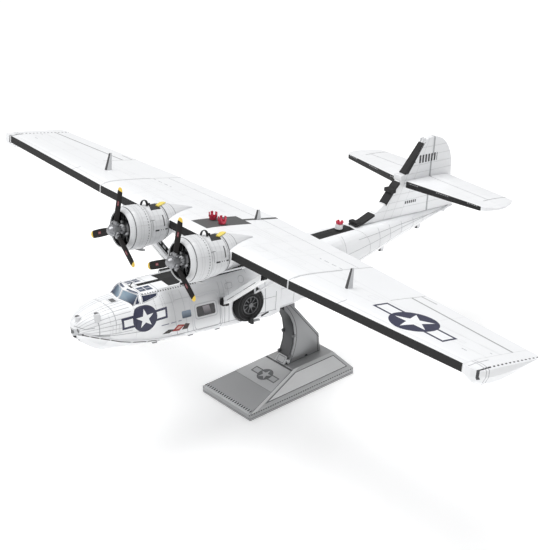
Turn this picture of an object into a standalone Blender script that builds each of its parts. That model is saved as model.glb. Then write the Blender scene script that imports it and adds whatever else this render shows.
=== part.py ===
"""Display model of a twin-engined amphibian flying boat, about 1:100, on its plinth.

Lengths are in millimetres and are made metres as each mesh is finished. The airframe is drawn
level in its own frame: x to port, y aft from the bow, z up from the keel at the main step.
An empty then carries it, nose up, on the stand. The world origin is the centre of the
plinth's underside, with the bow towards -Y.
"""

from math import cos, pi, radians, sin, sqrt

import bmesh
import bpy
from mathutils import Matrix, Vector

MM = 0.001
SEAM = 0.1                      # gap between pieces that lie face to face

# Attitude on the stand
NOSE_UP = radians(8.0)
AIRFRAME_AT = (0.0, -102.44, 49.08)

# Hull lengths
LENGTH = 207.0
BOW_CAP_END = 12.0
SCREEN_FOOT = 21.8
STEP_AT = 95.8
REAR_STEP_AT = 132.0
DECK_H = 33.2

# Wing
WING_LE = 54.2
WING_H = 46.0
WING_INCIDENCE = radians(2.2)
CENTRE_HALF = 64.0
BOOT_END = 150.0
TIP_END = 157.2
TIP_LE = 59.6
ROOT_TE, TIP_TE = 101.6, 92.4
TIP_DROOP = 1.2
TIP_DEPTH = 0.84                # thickness of the tip section against the root's

# Engines: the origin of each is the centre of its propeller
ENGINE_X, ENGINE_Y, ENGINE_Z = 20.6, 33.3, 44.7
THRUST_PITCH = radians(2.7)
PROP_R = 18.5
PROP_TURN = radians(6.0)
COWL_R, COWL_LIP_R = 9.2, 7.4
COWL_FRONT, COWL_REAR = 2.4, 12.7

# Tail
FIN_THICK, HINGE_THICK, RUDDER_TE_THICK = 3.6, 2.4, 0.8
HINGE_Y = 189.5
TAIL_H = 48.4
TAIL_ROOT_LE, TAIL_ROOT_TE = 173.5, 202.0
TAIL_HALF = 47.2

# Main wheels, folded into the hull's sides
WHEEL_Y, WHEEL_Z = 77.9, 14.6
TYRE_R, RIM_R = 7.5, 3.9
TYRE_IN, TYRE_OUT = 10.6, 14.8
WELL_R, WELL_X = 8.1, 10.2
AXLE_R, AXLE_GAP = 0.8, 0.06

# Stand
BASE_HALF_X, BASE_HALF_Y = 16.8, 29.3
SKIRT_H, PLATEAU_H = 3.2, 9.8
PLATEAU_HALF_X, PLATEAU_FRONT, PLATEAU_BACK = 8.8, 1.6, 24.8
COLUMN_HALF = 4.0

SIDES = (("left", 1), ("right", -1))


def clear_scene():
    for obj in list(bpy.data.objects):
        bpy.data.objects.remove(obj)


def material(name, colour, roughness, metallic=0.0):
    made = bpy.data.materials.new(name)
    made.use_nodes = True
    shader = made.node_tree.nodes["Principled BSDF"]
    shader.inputs["Base Color"].default_value = (*colour, 1.0)
    shader.inputs["Roughness"].default_value = roughness
    shader.inputs["Metallic"].default_value = metallic
    return made


def add_empty(name, place, turn_x=0.0, parent=None):
    empty = bpy.data.objects.new(name, None)
    bpy.context.scene.collection.objects.link(empty)
    empty.location = Vector(place) * MM
    empty.rotation_euler = (turn_x, 0.0, 0.0)
    empty.parent = parent
    return empty


def add_object(name, bm, finish, parent=None, place=(0.0, 0.0, 0.0), guide=False, smooth=35.0):
    """Makes the bmesh, drawn in millimetres about place, into an object."""
    bmesh.ops.recalc_face_normals(bm, faces=bm.faces)
    bm.transform(Matrix.Scale(MM, 4))
    mesh = bpy.data.meshes.new(name)
    bm.to_mesh(mesh)
    bm.free()
    mesh.materials.append(finish)
    mesh.shade_smooth()
    mesh.set_sharp_from_angle(angle=radians(smooth))
    obj = bpy.data.objects.new(name, mesh)
    bpy.context.scene.collection.objects.link(obj)
    obj.location = Vector(place) * MM
    obj.parent = parent
    if guide:
        obj.hide_render = True
        obj.display_type = "WIRE"
    return obj


def combine(obj, other, operation):
    modifier = obj.modifiers.new(operation.title() + " " + other.name, "BOOLEAN")
    modifier.operation = operation
    modifier.solver = "EXACT"
    modifier.object = other


def loft(bm, rings, mirrored=False):
    """Skins closed rings of equal count and caps the ends, with level strips where a ring mirrors itself."""
    made = [[bm.verts.new(point) for point in ring] for ring in rings]
    count = len(made[0])
    for low, high in zip(made, made[1:]):
        for i in range(count):
            j = (i + 1) % count
            bm.faces.new((low[i], low[j], high[j], high[i]))
    for end in (made[0][::-1], made[-1]):
        if not mirrored:
            bm.faces.new(end)
            continue
        if end[0] is not made[-1][0]:
            end = end[-1:] + end[:-1]
        top = count // 2
        bm.faces.new((end[0], end[1], end[-1]))
        for i in range(1, top - 1):
            bm.faces.new((end[i], end[i + 1], end[count - i - 1], end[count - i]))
        bm.faces.new((end[top - 1], end[top], end[top + 1]))
    return bm


def add_cylinder(bm, start, end, radius, end_radius=None, segments=24):
    start, end = Vector(start), Vector(end)
    along = end - start
    matrix = Matrix.Translation((start + end) / 2) @ along.to_track_quat("Z", "Y").to_matrix().to_4x4()
    bmesh.ops.create_cone(
        bm,
        cap_ends=True,
        segments=segments,
        radius1=radius,
        radius2=radius if end_radius is None else end_radius,
        depth=along.length,
        matrix=matrix,
    )


def add_box(bm, low, high):
    low, high = Vector(low), Vector(high)
    matrix = Matrix.Translation((low + high) / 2) @ Matrix.Diagonal((*(high - low), 1.0))
    bmesh.ops.create_cube(bm, size=1.0, matrix=matrix)


def prism(bm, outline, thickness_of):
    """A plate standing on the centreline: outline is (y, z), thickness_of(y) its thickness."""
    left = [(thickness_of(y) / 2, y, z) for y, z in outline]
    right = [(-x, y, z) for x, y, z in left]
    return loft(bm, [left, right])


def turned(bm, profile, segments=32):
    """Spins a closed (y, radius) outline round the Y axis."""
    first = [bm.verts.new((radius, y, 0.0)) for y, radius in profile]
    edges = [bm.edges.new((first[i], first[(i + 1) % len(first)])) for i in range(len(first))]
    bmesh.ops.spin(
        bm,
        geom=first + edges,
        cent=(0.0, 0.0, 0.0),
        axis=(0.0, 1.0, 0.0),
        angle=2 * pi,
        steps=segments,
        use_merge=True,
    )
    bmesh.ops.remove_doubles(bm, verts=bm.verts, dist=1e-4)
    return bm


# Hull stations: y, keel z, chine z, chine half-width, side half-width, side z,
# roof half-width, roof z, and how far the ring lies further aft from the roof's edge outwards
FOREDECK = (
    (0.0, 14.6, 16.0, 0.9, 1.3, 17.0, 0.4, 18.2, 0.3),
    (0.8, 13.4, 15.6, 2.4, 2.9, 17.2, 0.9, 19.3, 0.4),
    (3.0, 11.0, 14.8, 4.4, 5.0, 17.4, 1.8, 20.8, 0.4),
    (6.5, 8.2, 14.0, 6.8, 7.4, 17.5, 2.9, 22.3, 0.3),
    (BOW_CAP_END, 4.9, 12.6, 9.2, 9.8, 17.4, 4.0, 23.8, 0.0),
    (16.6, 3.9, 11.2, 10.2, 10.7, 17.3, 4.6, 24.5, 0.5),
    (SCREEN_FOOT, 3.4, 10.1, 10.9, 11.3, 17.2, 5.2, 25.0, 1.3),
)
MAIN_HULL = (
    (23.5, 3.2, 9.8, 11.3, 11.6, 17.1, 6.5, 28.1, 2.7),
    (27.4, 3.0, 9.3, 11.5, 11.8, 17.0, 6.8, 28.5, 0.6),
    (34.0, 2.5, 8.6, 11.8, 12.0, 17.0, 6.8, 28.6, 0.0),
    (46.0, 1.8, 8.0, 12.0, 12.2, 17.0, 6.8, 28.7, 0.0),
    (62.0, 1.3, 7.5, 12.0, 12.2, 17.0, 6.8, 28.9, 0.0),
    (80.0, 0.7, 7.1, 12.0, 12.2, 17.0, 6.8, 29.5, 0.0),
    (STEP_AT, 0.0, 7.1, 12.0, 12.2, 17.2, 6.6, 30.3, 0.0),
)
WAIST = (
    (STEP_AT + SEAM, 2.4, 9.3, 12.0, 12.2, 17.4, 6.6, 30.3, 0.0),
    (112.0, 3.6, 11.2, 11.8, 12.0, 18.4, 6.2, 31.4, 0.0),
    (REAR_STEP_AT, 6.6, 17.2, 10.7, 11.0, 21.2, 5.1, 32.5, 0.0),
)
TAIL_CONE = (
    (REAR_STEP_AT + SEAM, 9.2, 18.2, 10.7, 11.0, 21.2, 5.1, 32.5, 0.0),
    (150.0, 15.0, 22.2, 8.2, 8.6, 25.0, 3.6, DECK_H, 0.0),
    (170.0, 21.0, 26.2, 4.6, 5.2, 28.2, 2.2, DECK_H, 0.0),
    (190.0, 27.3, 29.8, 2.2, 2.6, 31.0, 1.2, DECK_H, 0.0),
    (LENGTH, 32.2, 32.5, 0.6, 0.8, 32.8, 0.4, DECK_H, 0.0),
)
STATION_STEPS = 3
SHOULDER_STEPS = 7
ROOF_CROWN = 0.08               # rise of the roof to its middle, for each unit of half-width


def smoothed(stations):
    """Adds stations between those given, on a curve that passes through them."""
    rows = []
    last = len(stations) - 1
    for i in range(last):
        around = (stations[max(i - 1, 0)], stations[i], stations[i + 1], stations[min(i + 2, last)])
        for step in range(STATION_STEPS):
            t = step / STATION_STEPS
            row = []
            for a, b, c, d in zip(*around):
                row.append(b + (c - a) * t / 2 + (a - 2.5 * b + 2 * c - d / 2) * t**2 + (1.5 * b - a / 2 - 1.5 * c + d / 2) * t**3)
            rows.append(tuple(row))
    return rows + [stations[last]]


BOW_ROWS = [row for row in smoothed(FOREDECK) if row[0] <= BOW_CAP_END]
FORE_ROWS = [(BOW_CAP_END + SEAM, *BOW_ROWS[-1][1:])] + [row for row in smoothed(FOREDECK) if row[0] > BOW_CAP_END]
FRONT_ROWS = [(SCREEN_FOOT + SEAM, *FOREDECK[-1][1:])] + smoothed(MAIN_HULL)
WAIST_ROWS = smoothed(WAIST)
TAIL_ROWS = smoothed(TAIL_CONE)


def hull_ring(y, keel, chine, chine_w, side_w, side, roof_w, deck, rake):
    """Half a section from keel to roof by way of the chine, then its mirror."""
    edge = deck - ROOF_CROWN * roof_w
    half = [(0.0, keel), (chine_w * 0.55, keel + (chine - keel) * 0.42), (chine_w, chine)]
    half.append(((chine_w + side_w) / 2 + 0.15, (chine + side) / 2))
    for i in range(SHOULDER_STEPS + 1):
        t = pi / 2 * i / SHOULDER_STEPS
        half.append((roof_w + (side_w - roof_w) * cos(t), side + (edge - side) * sin(t)))
    half.append((0.0, deck))
    swept = [(x, y + rake * min(1.0, x / roof_w) ** 2, z) for x, z in half]
    return swept + [(-x, yy, z) for x, yy, z in swept[-2:0:-1]]


def hull_piece(name, rows, finish, parent, guide=False):
    bm = loft(bmesh.new(), [hull_ring(*row) for row in rows], mirrored=True)
    return add_object(name, bm, finish, parent, guide=guide)


# The cockpit is the part of the front hull above and ahead of these
CANOPY_SILL, CANOPY_END = 23.0, 40.7


def canopy_box(gap):
    bm = bmesh.new()
    add_box(bm, (-14, 0, CANOPY_SILL + gap), (14, CANOPY_END - gap, 40))
    return bm


def hull(airframe, finish):
    hull_piece("bow_cap", BOW_ROWS, finish, airframe)
    hull_piece("foredeck", FORE_ROWS, finish, airframe)
    front = hull_piece("hull_front", FRONT_ROWS, finish, airframe)
    canopy = hull_piece("canopy", FRONT_ROWS, finish, airframe)
    combine(front, add_object("canopy_notch", canopy_box(0.0), finish, airframe, guide=True), "DIFFERENCE")
    combine(canopy, add_object("canopy_block", canopy_box(SEAM), finish, airframe, guide=True), "INTERSECT")
    hull_piece("hull_waist", WAIST_ROWS, finish, airframe)
    hull_piece("hull_tail", TAIL_ROWS, finish, airframe)
    for side, sign in SIDES:
        bm = bmesh.new()
        add_cylinder(bm, (sign * WELL_X, WHEEL_Y, WHEEL_Z), (sign * 16, WHEEL_Y, WHEEL_Z), WELL_R, segments=32)
        combine(front, add_object("well_" + side, bm, finish, airframe, guide=True), "DIFFERENCE")


# Wing section: share of chord from the leading edge, heights of the upper and lower skins in chords
SECTION = (
    (1.0, 0.004, -0.004),
    (0.85, 0.0165, -0.0165),
    (0.7, 0.0305, -0.031),
    (0.56, 0.0415, -0.043),
    (0.42, 0.052, -0.051),
    (0.3, 0.0595, -0.0535),
    (0.2, 0.0635, -0.052),
    (0.12, 0.0635, -0.048),
    (0.06, 0.055, -0.044),
    (0.025, 0.046, -0.04),
    (0.0, 0.034, -0.034),
)
NOSE_FACE = 3.2                 # height of the flat leading edge, under the black boots


def wing_ring(x, le, te, depth, z_le, grow=0.0, keel=0.0, face=NOSE_FACE):
    """The section in the plane of x, from the trailing edge over the top and back. Its nose is
    at least face tall, and keel lowers the underside most near the front."""
    chord = te - le
    upper, lower = [], []
    for along, high, low in SECTION:
        least = face / 2 * (1 - along)
        y = along * (chord + 2 * grow) - grow
        belly = keel * KEEL_SHAPE * sqrt(along) * (1 - along)
        upper.append((y, max(high * chord * depth, least) + grow))
        lower.append((y, min(low * chord * depth, -least) - grow - belly))
    outline = upper + lower[::-1]
    c, n = cos(WING_INCIDENCE), sin(WING_INCIDENCE)
    return [(x, le + y * c + z * n, z_le - y * n + z * c) for y, z in outline]


def between(x, x0, v0, x1, v1):
    return v0 + (v1 - v0) * (x - x0) / (x1 - x0)


def trailing_edge(x):
    return between(abs(x), 0.0, ROOT_TE, BOOT_END, TIP_TE)


def outer_ring(x):
    le = between(x, CENTRE_HALF, WING_LE, BOOT_END, TIP_LE)
    depth = between(x, CENTRE_HALF, 1.0, BOOT_END, TIP_DEPTH)
    return wing_ring(x, le, trailing_edge(x), depth, between(x, CENTRE_HALF, WING_H, BOOT_END, WING_H - TIP_DROOP))


def centre_rings(grow=0.0, lift=0.0):
    return [
        wing_ring(x, WING_LE, trailing_edge(x), 1.0, WING_H + lift, grow)
        for x in (-CENTRE_HALF, 0.0, CENTRE_HALF)
    ]


KEEL_SHAPE = 2.6                # makes the deepest part of the belly one keel deep
# Wing-tip float folded up as the tip: x, nose and tail cut back, thickness factor, depth of the
# boat's bottom below the wing
FLOAT_SECTIONS = (
    (BOOT_END + SEAM, 0.0, 0.0, 1.0, 0.4),
    (151.8, -0.4, 0.0, 1.05, 2.4),
    (154.2, -0.4, 0.2, 1.0, 4.8),
    (156.0, 0.6, 1.0, 0.86, 3.6),
    (TIP_END, 3.0, 3.0, 0.56, 1.4),
)


def wings(airframe, finish):
    add_object("wing_centre", loft(bmesh.new(), centre_rings()), finish, airframe)
    for side, sign in SIDES:
        panel = loft(bmesh.new(), [outer_ring(CENTRE_HALF + SEAM), outer_ring(BOOT_END)])
        tip_rings = []
        for x, nose, tail, factor, keel in FLOAT_SECTIONS:
            le, te = TIP_LE + nose, TIP_TE - tail
            z_le = WING_H - TIP_DROOP - 0.04 * nose
            tip_rings.append(wing_ring(x, le, te, TIP_DEPTH * factor, z_le, keel=keel, face=NOSE_FACE * factor))
        for name, bm in (("wing_" + side, panel), ("tip_float_" + side, loft(bmesh.new(), tip_rings))):
            bm.transform(Matrix.Diagonal((sign, 1.0, 1.0, 1.0)))
            add_object(name, bm, finish, airframe)


# Pylon plan: share of length from the nose, half-width at the hull, half-width at the wing
PYLON_Y0, PYLON_Y1 = 50.0, 90.0
PYLON_PLAN = ((0.0, 0.6, 0.5), (0.08, 3.2, 2.4), (0.25, 5.6, 4.2), (0.5, 6.4, 4.8), (0.8, 4.6, 3.4), (1.0, 1.0, 0.8))
PYLON_FOOT, PYLON_TOP = 26.0, 46.5


def pylon(airframe, finish):
    rings = []
    for level, column in ((PYLON_FOOT, 1), (PYLON_TOP, 2)):
        half = [(row[column], PYLON_Y0 + row[0] * (PYLON_Y1 - PYLON_Y0)) for row in PYLON_PLAN]
        rings.append([(x, y, level) for x, y in half] + [(-x, y, level) for x, y in half[::-1]])
    body = add_object("pylon", loft(bmesh.new(), rings), finish, airframe)
    deck = hull_piece("deck_cut", FRONT_ROWS, finish, airframe, guide=True)
    deck.location.z += SEAM * MM
    wing = add_object("wing_cut", loft(bmesh.new(), centre_rings(lift=-SEAM)), finish, airframe, guide=True)
    combine(body, deck, "DIFFERENCE")
    combine(body, wing, "DIFFERENCE")
    above = bmesh.new()
    add_box(above, (-10, 40, WING_H - NOSE_FACE / 2 - SEAM), (10, 105, 60))
    combine(body, add_object("pylon_top_cut", above, finish, airframe, guide=True), "DIFFERENCE")


# Nacelle: y behind the propeller, half-width, top, bottom
NACELLE_STATIONS = (
    (COWL_REAR + SEAM, 8.7, 8.7, -8.7),
    (17.0, 8.6, 8.7, -8.3),
    (21.0, 8.3, 8.5, -7.2),
    (25.0, 7.2, 8.1, -5.2),
    (29.0, 5.2, 7.4, -3.2),
    (33.0, 3.0, 6.6, -1.4),
    (38.0, 0.8, 5.4, -0.4),
)
NACELLE_SEGMENTS = 24
CYLINDERS = 9


def nacelle(engine, side, finish, wing_cutter):
    rings = []
    for y, half, top, bottom in NACELLE_STATIONS:
        middle, rise = (top + bottom) / 2, (top - bottom) / 2
        steps = [2 * pi * i / NACELLE_SEGMENTS for i in range(NACELLE_SEGMENTS)]
        rings.append([(half * sin(t), y, middle + rise * cos(t)) for t in steps])
    body = add_object("nacelle_" + side, loft(bmesh.new(), rings), finish, engine)
    combine(body, wing_cutter, "DIFFERENCE")


def cowling(engine, side, finish):
    profile = (
        (COWL_FRONT, COWL_LIP_R),
        (COWL_FRONT + 0.2, COWL_LIP_R + 0.5),
        (COWL_FRONT + 1.2, COWL_R - 0.5),
        (COWL_FRONT + 3.4, COWL_R),
        (COWL_REAR - 1.5, COWL_R),
        (COWL_REAR, COWL_R - 0.5),
        (COWL_REAR, COWL_R - 1.4),
        (COWL_FRONT + 3.4, COWL_R - 1.0),
        (COWL_FRONT + 1.0, COWL_LIP_R),
    )
    add_object("cowling_" + side, turned(bmesh.new(), profile), finish, engine)


def radial_engine(engine, side, finish):
    """A crankcase with a ring of cylinders, on a stem from the firewall."""
    nose = (
        (COWL_FRONT - 0.6, 0.0),
        (COWL_FRONT - 0.6, 1.3),
        (COWL_FRONT + 1.6, 2.0),
        (COWL_FRONT + 3.0, 3.2),
        (COWL_FRONT + 7.0, 3.2),
        (COWL_REAR, 5.5),
        (COWL_REAR, 0.0),
    )
    case = add_object("engine_" + side, turned(bmesh.new(), nose, 24), finish, engine)
    for i in range(CYLINDERS):
        t = 2 * pi * i / CYLINDERS
        out = Vector((sin(t), 0.0, cos(t)))
        bm = bmesh.new()
        middle = Vector((0.0, COWL_FRONT + 5.0, 0.0))
        add_cylinder(bm, middle + out * 2.0, middle + out * 7.4, 1.25, segments=10)
        barrel = add_object(f"barrel_{side}_{i}", bm, finish, engine, guide=True)
        combine(case, barrel, "UNION")


# Propeller blade: radius, chord, thickness, pitch in degrees
BLADE_SECTIONS = (
    (1.2, 1.6, 1.3, 60.0),
    (4.0, 2.8, 1.0, 40.0),
    (8.0, 4.0, 0.8, 28.0),
    (13.0, 4.2, 0.6, 22.0),
    (17.2, 3.6, 0.5, 18.0),
    (PROP_R, 2.2, 0.4, 18.0),
)
BLADE_SIDES = 8
BLADES = 3
HUB_R, HUB_FRONT, HUB_BACK = 2.1, -2.3, 0.8


def propeller(engine, side, finish):
    """A hub and three blades, about the shaft."""
    dome = (
        (HUB_FRONT, 0.0),
        (HUB_FRONT, 0.9),
        (HUB_FRONT + 0.4, 1.5),
        (-1.2, 1.7),
        (-1.0, HUB_R),
        (HUB_BACK, HUB_R),
        (HUB_BACK, 0.0),
    )
    hub = add_object("propeller_" + side, turned(bmesh.new(), dome, 24), finish, engine)
    for blade in range(BLADES):
        rings = []
        for radius, chord, thickness, pitch in BLADE_SECTIONS:
            ring = []
            for i in range(BLADE_SIDES):
                t = 2 * pi * i / BLADE_SIDES
                across, through = chord / 2 * cos(t), thickness / 2 * sin(t)
                p = radians(-pitch)
                ring.append((across * cos(p) - through * sin(p), across * sin(p) + through * cos(p), radius))
            rings.append(ring)
        bm = loft(bmesh.new(), rings)
        bm.transform(Matrix.Rotation(PROP_TURN + 2 * pi * blade / BLADES, 4, "Y"))
        combine(hub, add_object(f"blade_{side}_{blade}", bm, finish, engine, guide=True), "UNION")


def engines(airframe, paint, metal, dark):
    for side, sign in SIDES:
        engine = add_empty("engine_frame_" + side, (sign * ENGINE_X, ENGINE_Y, ENGINE_Z), -THRUST_PITCH, airframe)
        cutter = loft(bmesh.new(), centre_rings(grow=SEAM))
        wing_cutter = add_object("wing_slot_" + side, cutter, paint, airframe, guide=True)
        nacelle(engine, side, paint, wing_cutter)
        cowling(engine, side, paint)
        radial_engine(engine, side, metal)
        propeller(engine, side, dark)


# Wing struts, from the hull's side to under the wing: x, y, z, chord and thickness along each.
# The rear one is cranked to pass outside the tyre.
STRUTS = (
    ("front", ((12.5, 65.8, 17.4, 3.6, 2.2), (14.2, 65.3, 18.6, 4.0, 2.4), (48.1, 56.6, 42.2, 4.0, 2.4))),
    ("rear", ((12.5, 80.6, 23.8, 1.8, 1.2), (16.4, 79.4, 19.6, 1.8, 1.2), (48.0, 69.0, 41.6, 3.4, 1.8))),
)
STRUT_SIDES = 10


def struts(airframe, finish):
    for place, path in STRUTS:
        for side, sign in SIDES:
            rings = []
            for x, y, z, chord, thick in path:
                steps = [2 * pi * i / STRUT_SIDES for i in range(STRUT_SIDES)]
                rings.append([(sign * x, y + chord / 2 * cos(t), z + thick / 2 * sin(t)) for t in steps])
            add_object(f"strut_{place}_{side}", loft(bmesh.new(), rings), finish, airframe)


TYRE_SHOULDER = 0.9


def wheels(airframe, rubber, metal, finish):
    """Tyre and rim turn on a headed pin that stands out of the wheel well."""
    for side, sign in SIDES:
        place = (0.0, WHEEL_Y, WHEEL_Z)
        across = Matrix.Rotation(-pi / 2 * sign, 4, "Z")
        tyre_outline = (
            (TYRE_IN, RIM_R + SEAM / 2),
            (TYRE_IN, TYRE_R - TYRE_SHOULDER * 1.6),
            (TYRE_IN + TYRE_SHOULDER, TYRE_R - 0.3),
            (TYRE_IN + TYRE_SHOULDER * 1.8, TYRE_R),
            (TYRE_OUT - TYRE_SHOULDER * 1.8, TYRE_R),
            (TYRE_OUT - TYRE_SHOULDER, TYRE_R - 0.3),
            (TYRE_OUT, TYRE_R - TYRE_SHOULDER * 1.6),
            (TYRE_OUT - 0.3, RIM_R + SEAM / 2),
        )
        tyre = turned(bmesh.new(), tyre_outline, 36)
        bore = AXLE_R + AXLE_GAP
        rim_outline = (
            (TYRE_IN + 0.3, bore),
            (TYRE_IN + 0.3, RIM_R),
            (TYRE_OUT - 0.4, RIM_R),
            (TYRE_OUT - 0.4, RIM_R - 0.5),
            (TYRE_OUT - 1.1, RIM_R - 0.7),
            (TYRE_OUT - 0.9, 1.5),
            (TYRE_OUT - 0.7, bore),
        )
        rim = turned(bmesh.new(), rim_outline, 36)
        pin_outline = (
            (WELL_X + SEAM, 0.0),
            (WELL_X + SEAM, AXLE_R),
            (TYRE_OUT - 0.7 + SEAM, AXLE_R),
            (TYRE_OUT - 0.7 + SEAM, 1.25),
            (TYRE_OUT - 0.2, 1.1),
            (TYRE_OUT - 0.2, 0.0),
        )
        pin = turned(bmesh.new(), pin_outline, 24)
        for name, bm, look in (("tyre_", tyre, rubber), ("wheel_rim_", rim, metal), ("axle_", pin, metal)):
            bm.transform(across)
            add_object(name + side, bm, look, airframe, place)


FIN_OUTLINE = (
    (147.4, DECK_H + SEAM),
    (156.3, 37.0),
    (163.5, 41.5),
    (168.0, 48.0),
    (174.0, 54.5),
    (183.5, 66.6),
    (186.4, 68.0),
    (HINGE_Y, 68.3),
    (HINGE_Y, DECK_H + SEAM),
)
RUDDER_OUTLINE = (
    (HINGE_Y + SEAM, DECK_H + SEAM),
    (HINGE_Y + SEAM, 68.3),
    (192.6, 68.0),
    (195.6, 66.8),
    (198.2, 64.9),
    (200.4, 62.3),
    (202.2, 59.0),
    (203.4, 55.0),
    (203.8, 49.0),
    (205.2, 41.0),
    (207.0, 35.0),
    (207.0, DECK_H + SEAM),
)


def fin_thickness(y):
    return between(y, 146.0, FIN_THICK, HINGE_Y, HINGE_THICK)


def rudder_thickness(y):
    return between(y, HINGE_Y, HINGE_THICK, 207.0, RUDDER_TE_THICK)


# Tailplane: x, leading edge, trailing edge, thickness; the root lies against the fin
TAIL_HINGE = 189.0
TAIL_SECTIONS = (
    (0.0, TAIL_ROOT_LE, TAIL_ROOT_TE, 2.8),
    (35.0, 178.1, 200.8, 2.2),
    (42.6, 179.1, 200.1, 1.9),
    (45.2, 181.0, 196.4, 1.5),
    (TAIL_HALF, 185.2, 191.4, 0.9),
)


def tail_rings(start, end, sign, root_thickness):
    """Slices of the tailplane between two lines that run out along it."""
    rings = []
    for x, le, te, thick in TAIL_SECTIONS:
        y0, y1 = max(le, start), min(te, end)
        nose = thick
        tail = thick * (0.3 if y1 == te else 1.0)
        inner = y0 + (y1 - y0) * 0.25
        outer = y1 - (y1 - y0) * 0.25
        half = [(y0, nose / 2), (inner, thick / 2), (outer, (thick + tail) / 4), (y1, tail / 2)]
        ring = [(y, z) for y, z in half] + [(y, -z) for y, z in half[::-1]]
        rings.append([(sign * max(x, root_thickness(y) / 2 + SEAM), y, TAIL_H + z) for y, z in ring])
    return rings


def tail(airframe, finish):
    add_object("fin", prism(bmesh.new(), FIN_OUTLINE, fin_thickness), finish, airframe)
    add_object("rudder", prism(bmesh.new(), RUDDER_OUTLINE, rudder_thickness), finish, airframe)
    for side, sign in SIDES:
        plane = loft(bmesh.new(), tail_rings(0.0, TAIL_HINGE, sign, fin_thickness))
        elevator = loft(bmesh.new(), tail_rings(TAIL_HINGE + SEAM, 300.0, sign, rudder_thickness))
        add_object("tailplane_" + side, plane, finish, airframe)
        add_object("elevator_" + side, elevator, finish, airframe)


BLISTER_Y, BLISTER_Z = 121.5, 25.5
BLISTER_HALF_Y, BLISTER_HALF_Z, BLISTER_BULGE = 9.3, 4.6, 3.0


def blisters(airframe, glass):
    """Bulged waist windows, each cut off where the hull's side begins."""
    for side, sign in SIDES:
        bm = bmesh.new()
        bmesh.ops.create_uvsphere(bm, u_segments=24, v_segments=12, radius=1.0)
        grow = Matrix.Diagonal((BLISTER_BULGE, BLISTER_HALF_Y, BLISTER_HALF_Z, 1.0))
        bm.transform(Matrix.Translation((sign * 11.2, BLISTER_Y, BLISTER_Z)) @ grow)
        blister = add_object("blister_" + side, bm, glass, airframe)
        wall = hull_piece("wall_" + side, WAIST_ROWS, glass, airframe, guide=True)
        wall.location.x = sign * SEAM * MM
        combine(blister, wall, "DIFFERENCE")


# Masts on the wing: name, x, y, height
MASTS = (("left", 81.1, 69.0, 7.4), ("right", -81.1, 69.0, 7.4), ("centre", 0.3, 89.1, 4.6))
MAST_HALF_Y, MAST_HALF_X = 1.5, 0.7
MAST_LEAN = 0.12


def wing_top(x, y):
    """Height of the wing's upper surface, read from the section's own ring."""
    if abs(x) > CENTRE_HALF:
        ring = outer_ring(abs(x))
    else:
        ring = wing_ring(x, WING_LE, trailing_edge(x), 1.0, WING_H)
    top = ring[: len(SECTION)]
    for (_, y1, z1), (_, y0, z0) in zip(top, top[1:]):
        if y0 <= y <= y1:
            return between(y, y0, z0, y1, z1)
    return WING_H


def masts(airframe, finish):
    for name, x, y, height in MASTS:
        foot = wing_top(x, y - MAST_HALF_Y) + SEAM
        rings = []
        for z, share in ((foot, 1.0), (foot + height, 0.45)):
            a, b = MAST_HALF_X * share, MAST_HALF_Y * share
            lean = MAST_LEAN * (z - foot)
            rings.append([(x + a, y + lean + b, z), (x + a, y + lean - b, z), (x - a, y + lean - b, z), (x - a, y + lean + b, z)])
        add_object("mast_" + name, loft(bmesh.new(), rings), finish, airframe)


BEACON_Y, BEACON_R, BEACON_POST = 137.0, 1.75, 2.1
CROWN_H = 1.8
WING_BEACON_X, WING_BEACON_Y = 3.1, 69.0


def crown(bm, radius, height):
    """An open cup with a flat floor."""
    outline = ((0.0, 0.0), (0.0, radius * 0.8), (height, radius), (height, radius - 0.35), (0.4, radius * 0.8 - 0.35), (0.4, 0.0))
    turned(bm, outline, 20)
    bm.transform(Matrix.Rotation(pi / 2, 4, "X"))
    return bm


def beacons(airframe, finish, red):
    post = bmesh.new()
    add_cylinder(post, (0, 0, SEAM), (0, 0, BEACON_POST), BEACON_R)
    place = (0.0, BEACON_Y, DECK_H)
    add_object("beacon_post", post, finish, airframe, place)
    top = (0.0, BEACON_Y, DECK_H + BEACON_POST + SEAM)
    add_object("beacon_crown", crown(bmesh.new(), BEACON_R, CROWN_H), red, airframe, top)
    for side, sign in SIDES:
        x = sign * WING_BEACON_X
        seat = wing_top(x, WING_BEACON_Y - 2.0) + SEAM
        add_object("wing_beacon_" + side, crown(bmesh.new(), 2.0, 3.3), red, airframe, (x, WING_BEACON_Y, seat))


# Bow fittings: name, x, y, foot z, half-width, height
BOW_FITTINGS = (("bow_post", 0.6, 2.3, 18.8, 1.1, 4.2), ("bow_cleat", 6.0, 7.7, 19.4, 1.1, 5.2))


def bow_fittings(airframe, finish):
    for name, x, y, foot, half, height in BOW_FITTINGS:
        bm = bmesh.new()
        add_box(bm, (-half, -half, 0.0), (half, half, height))
        fitting = add_object(name, bm, finish, airframe, (x, y, foot))
        bow = hull_piece("under_" + name, BOW_ROWS, finish, airframe, guide=True)
        bow.location.z += SEAM * MM
        combine(fitting, bow, "DIFFERENCE")


# Column outline in the world's (y, z): concave front, sloping back
COLUMN_OUTLINE = (
    (2.4, PLATEAU_H + SEAM),
    (4.6, 14.0),
    (6.4, 18.5),
    (7.1, 23.5),
    (6.7, 28.5),
    (5.0, 33.0),
    (2.2, 37.0),
    (2.0, 41.0),
    (8.2, 41.0),
    (8.2, 36.4),
    (21.0, 15.8),
    (21.4, PLATEAU_H + SEAM),
)


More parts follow.
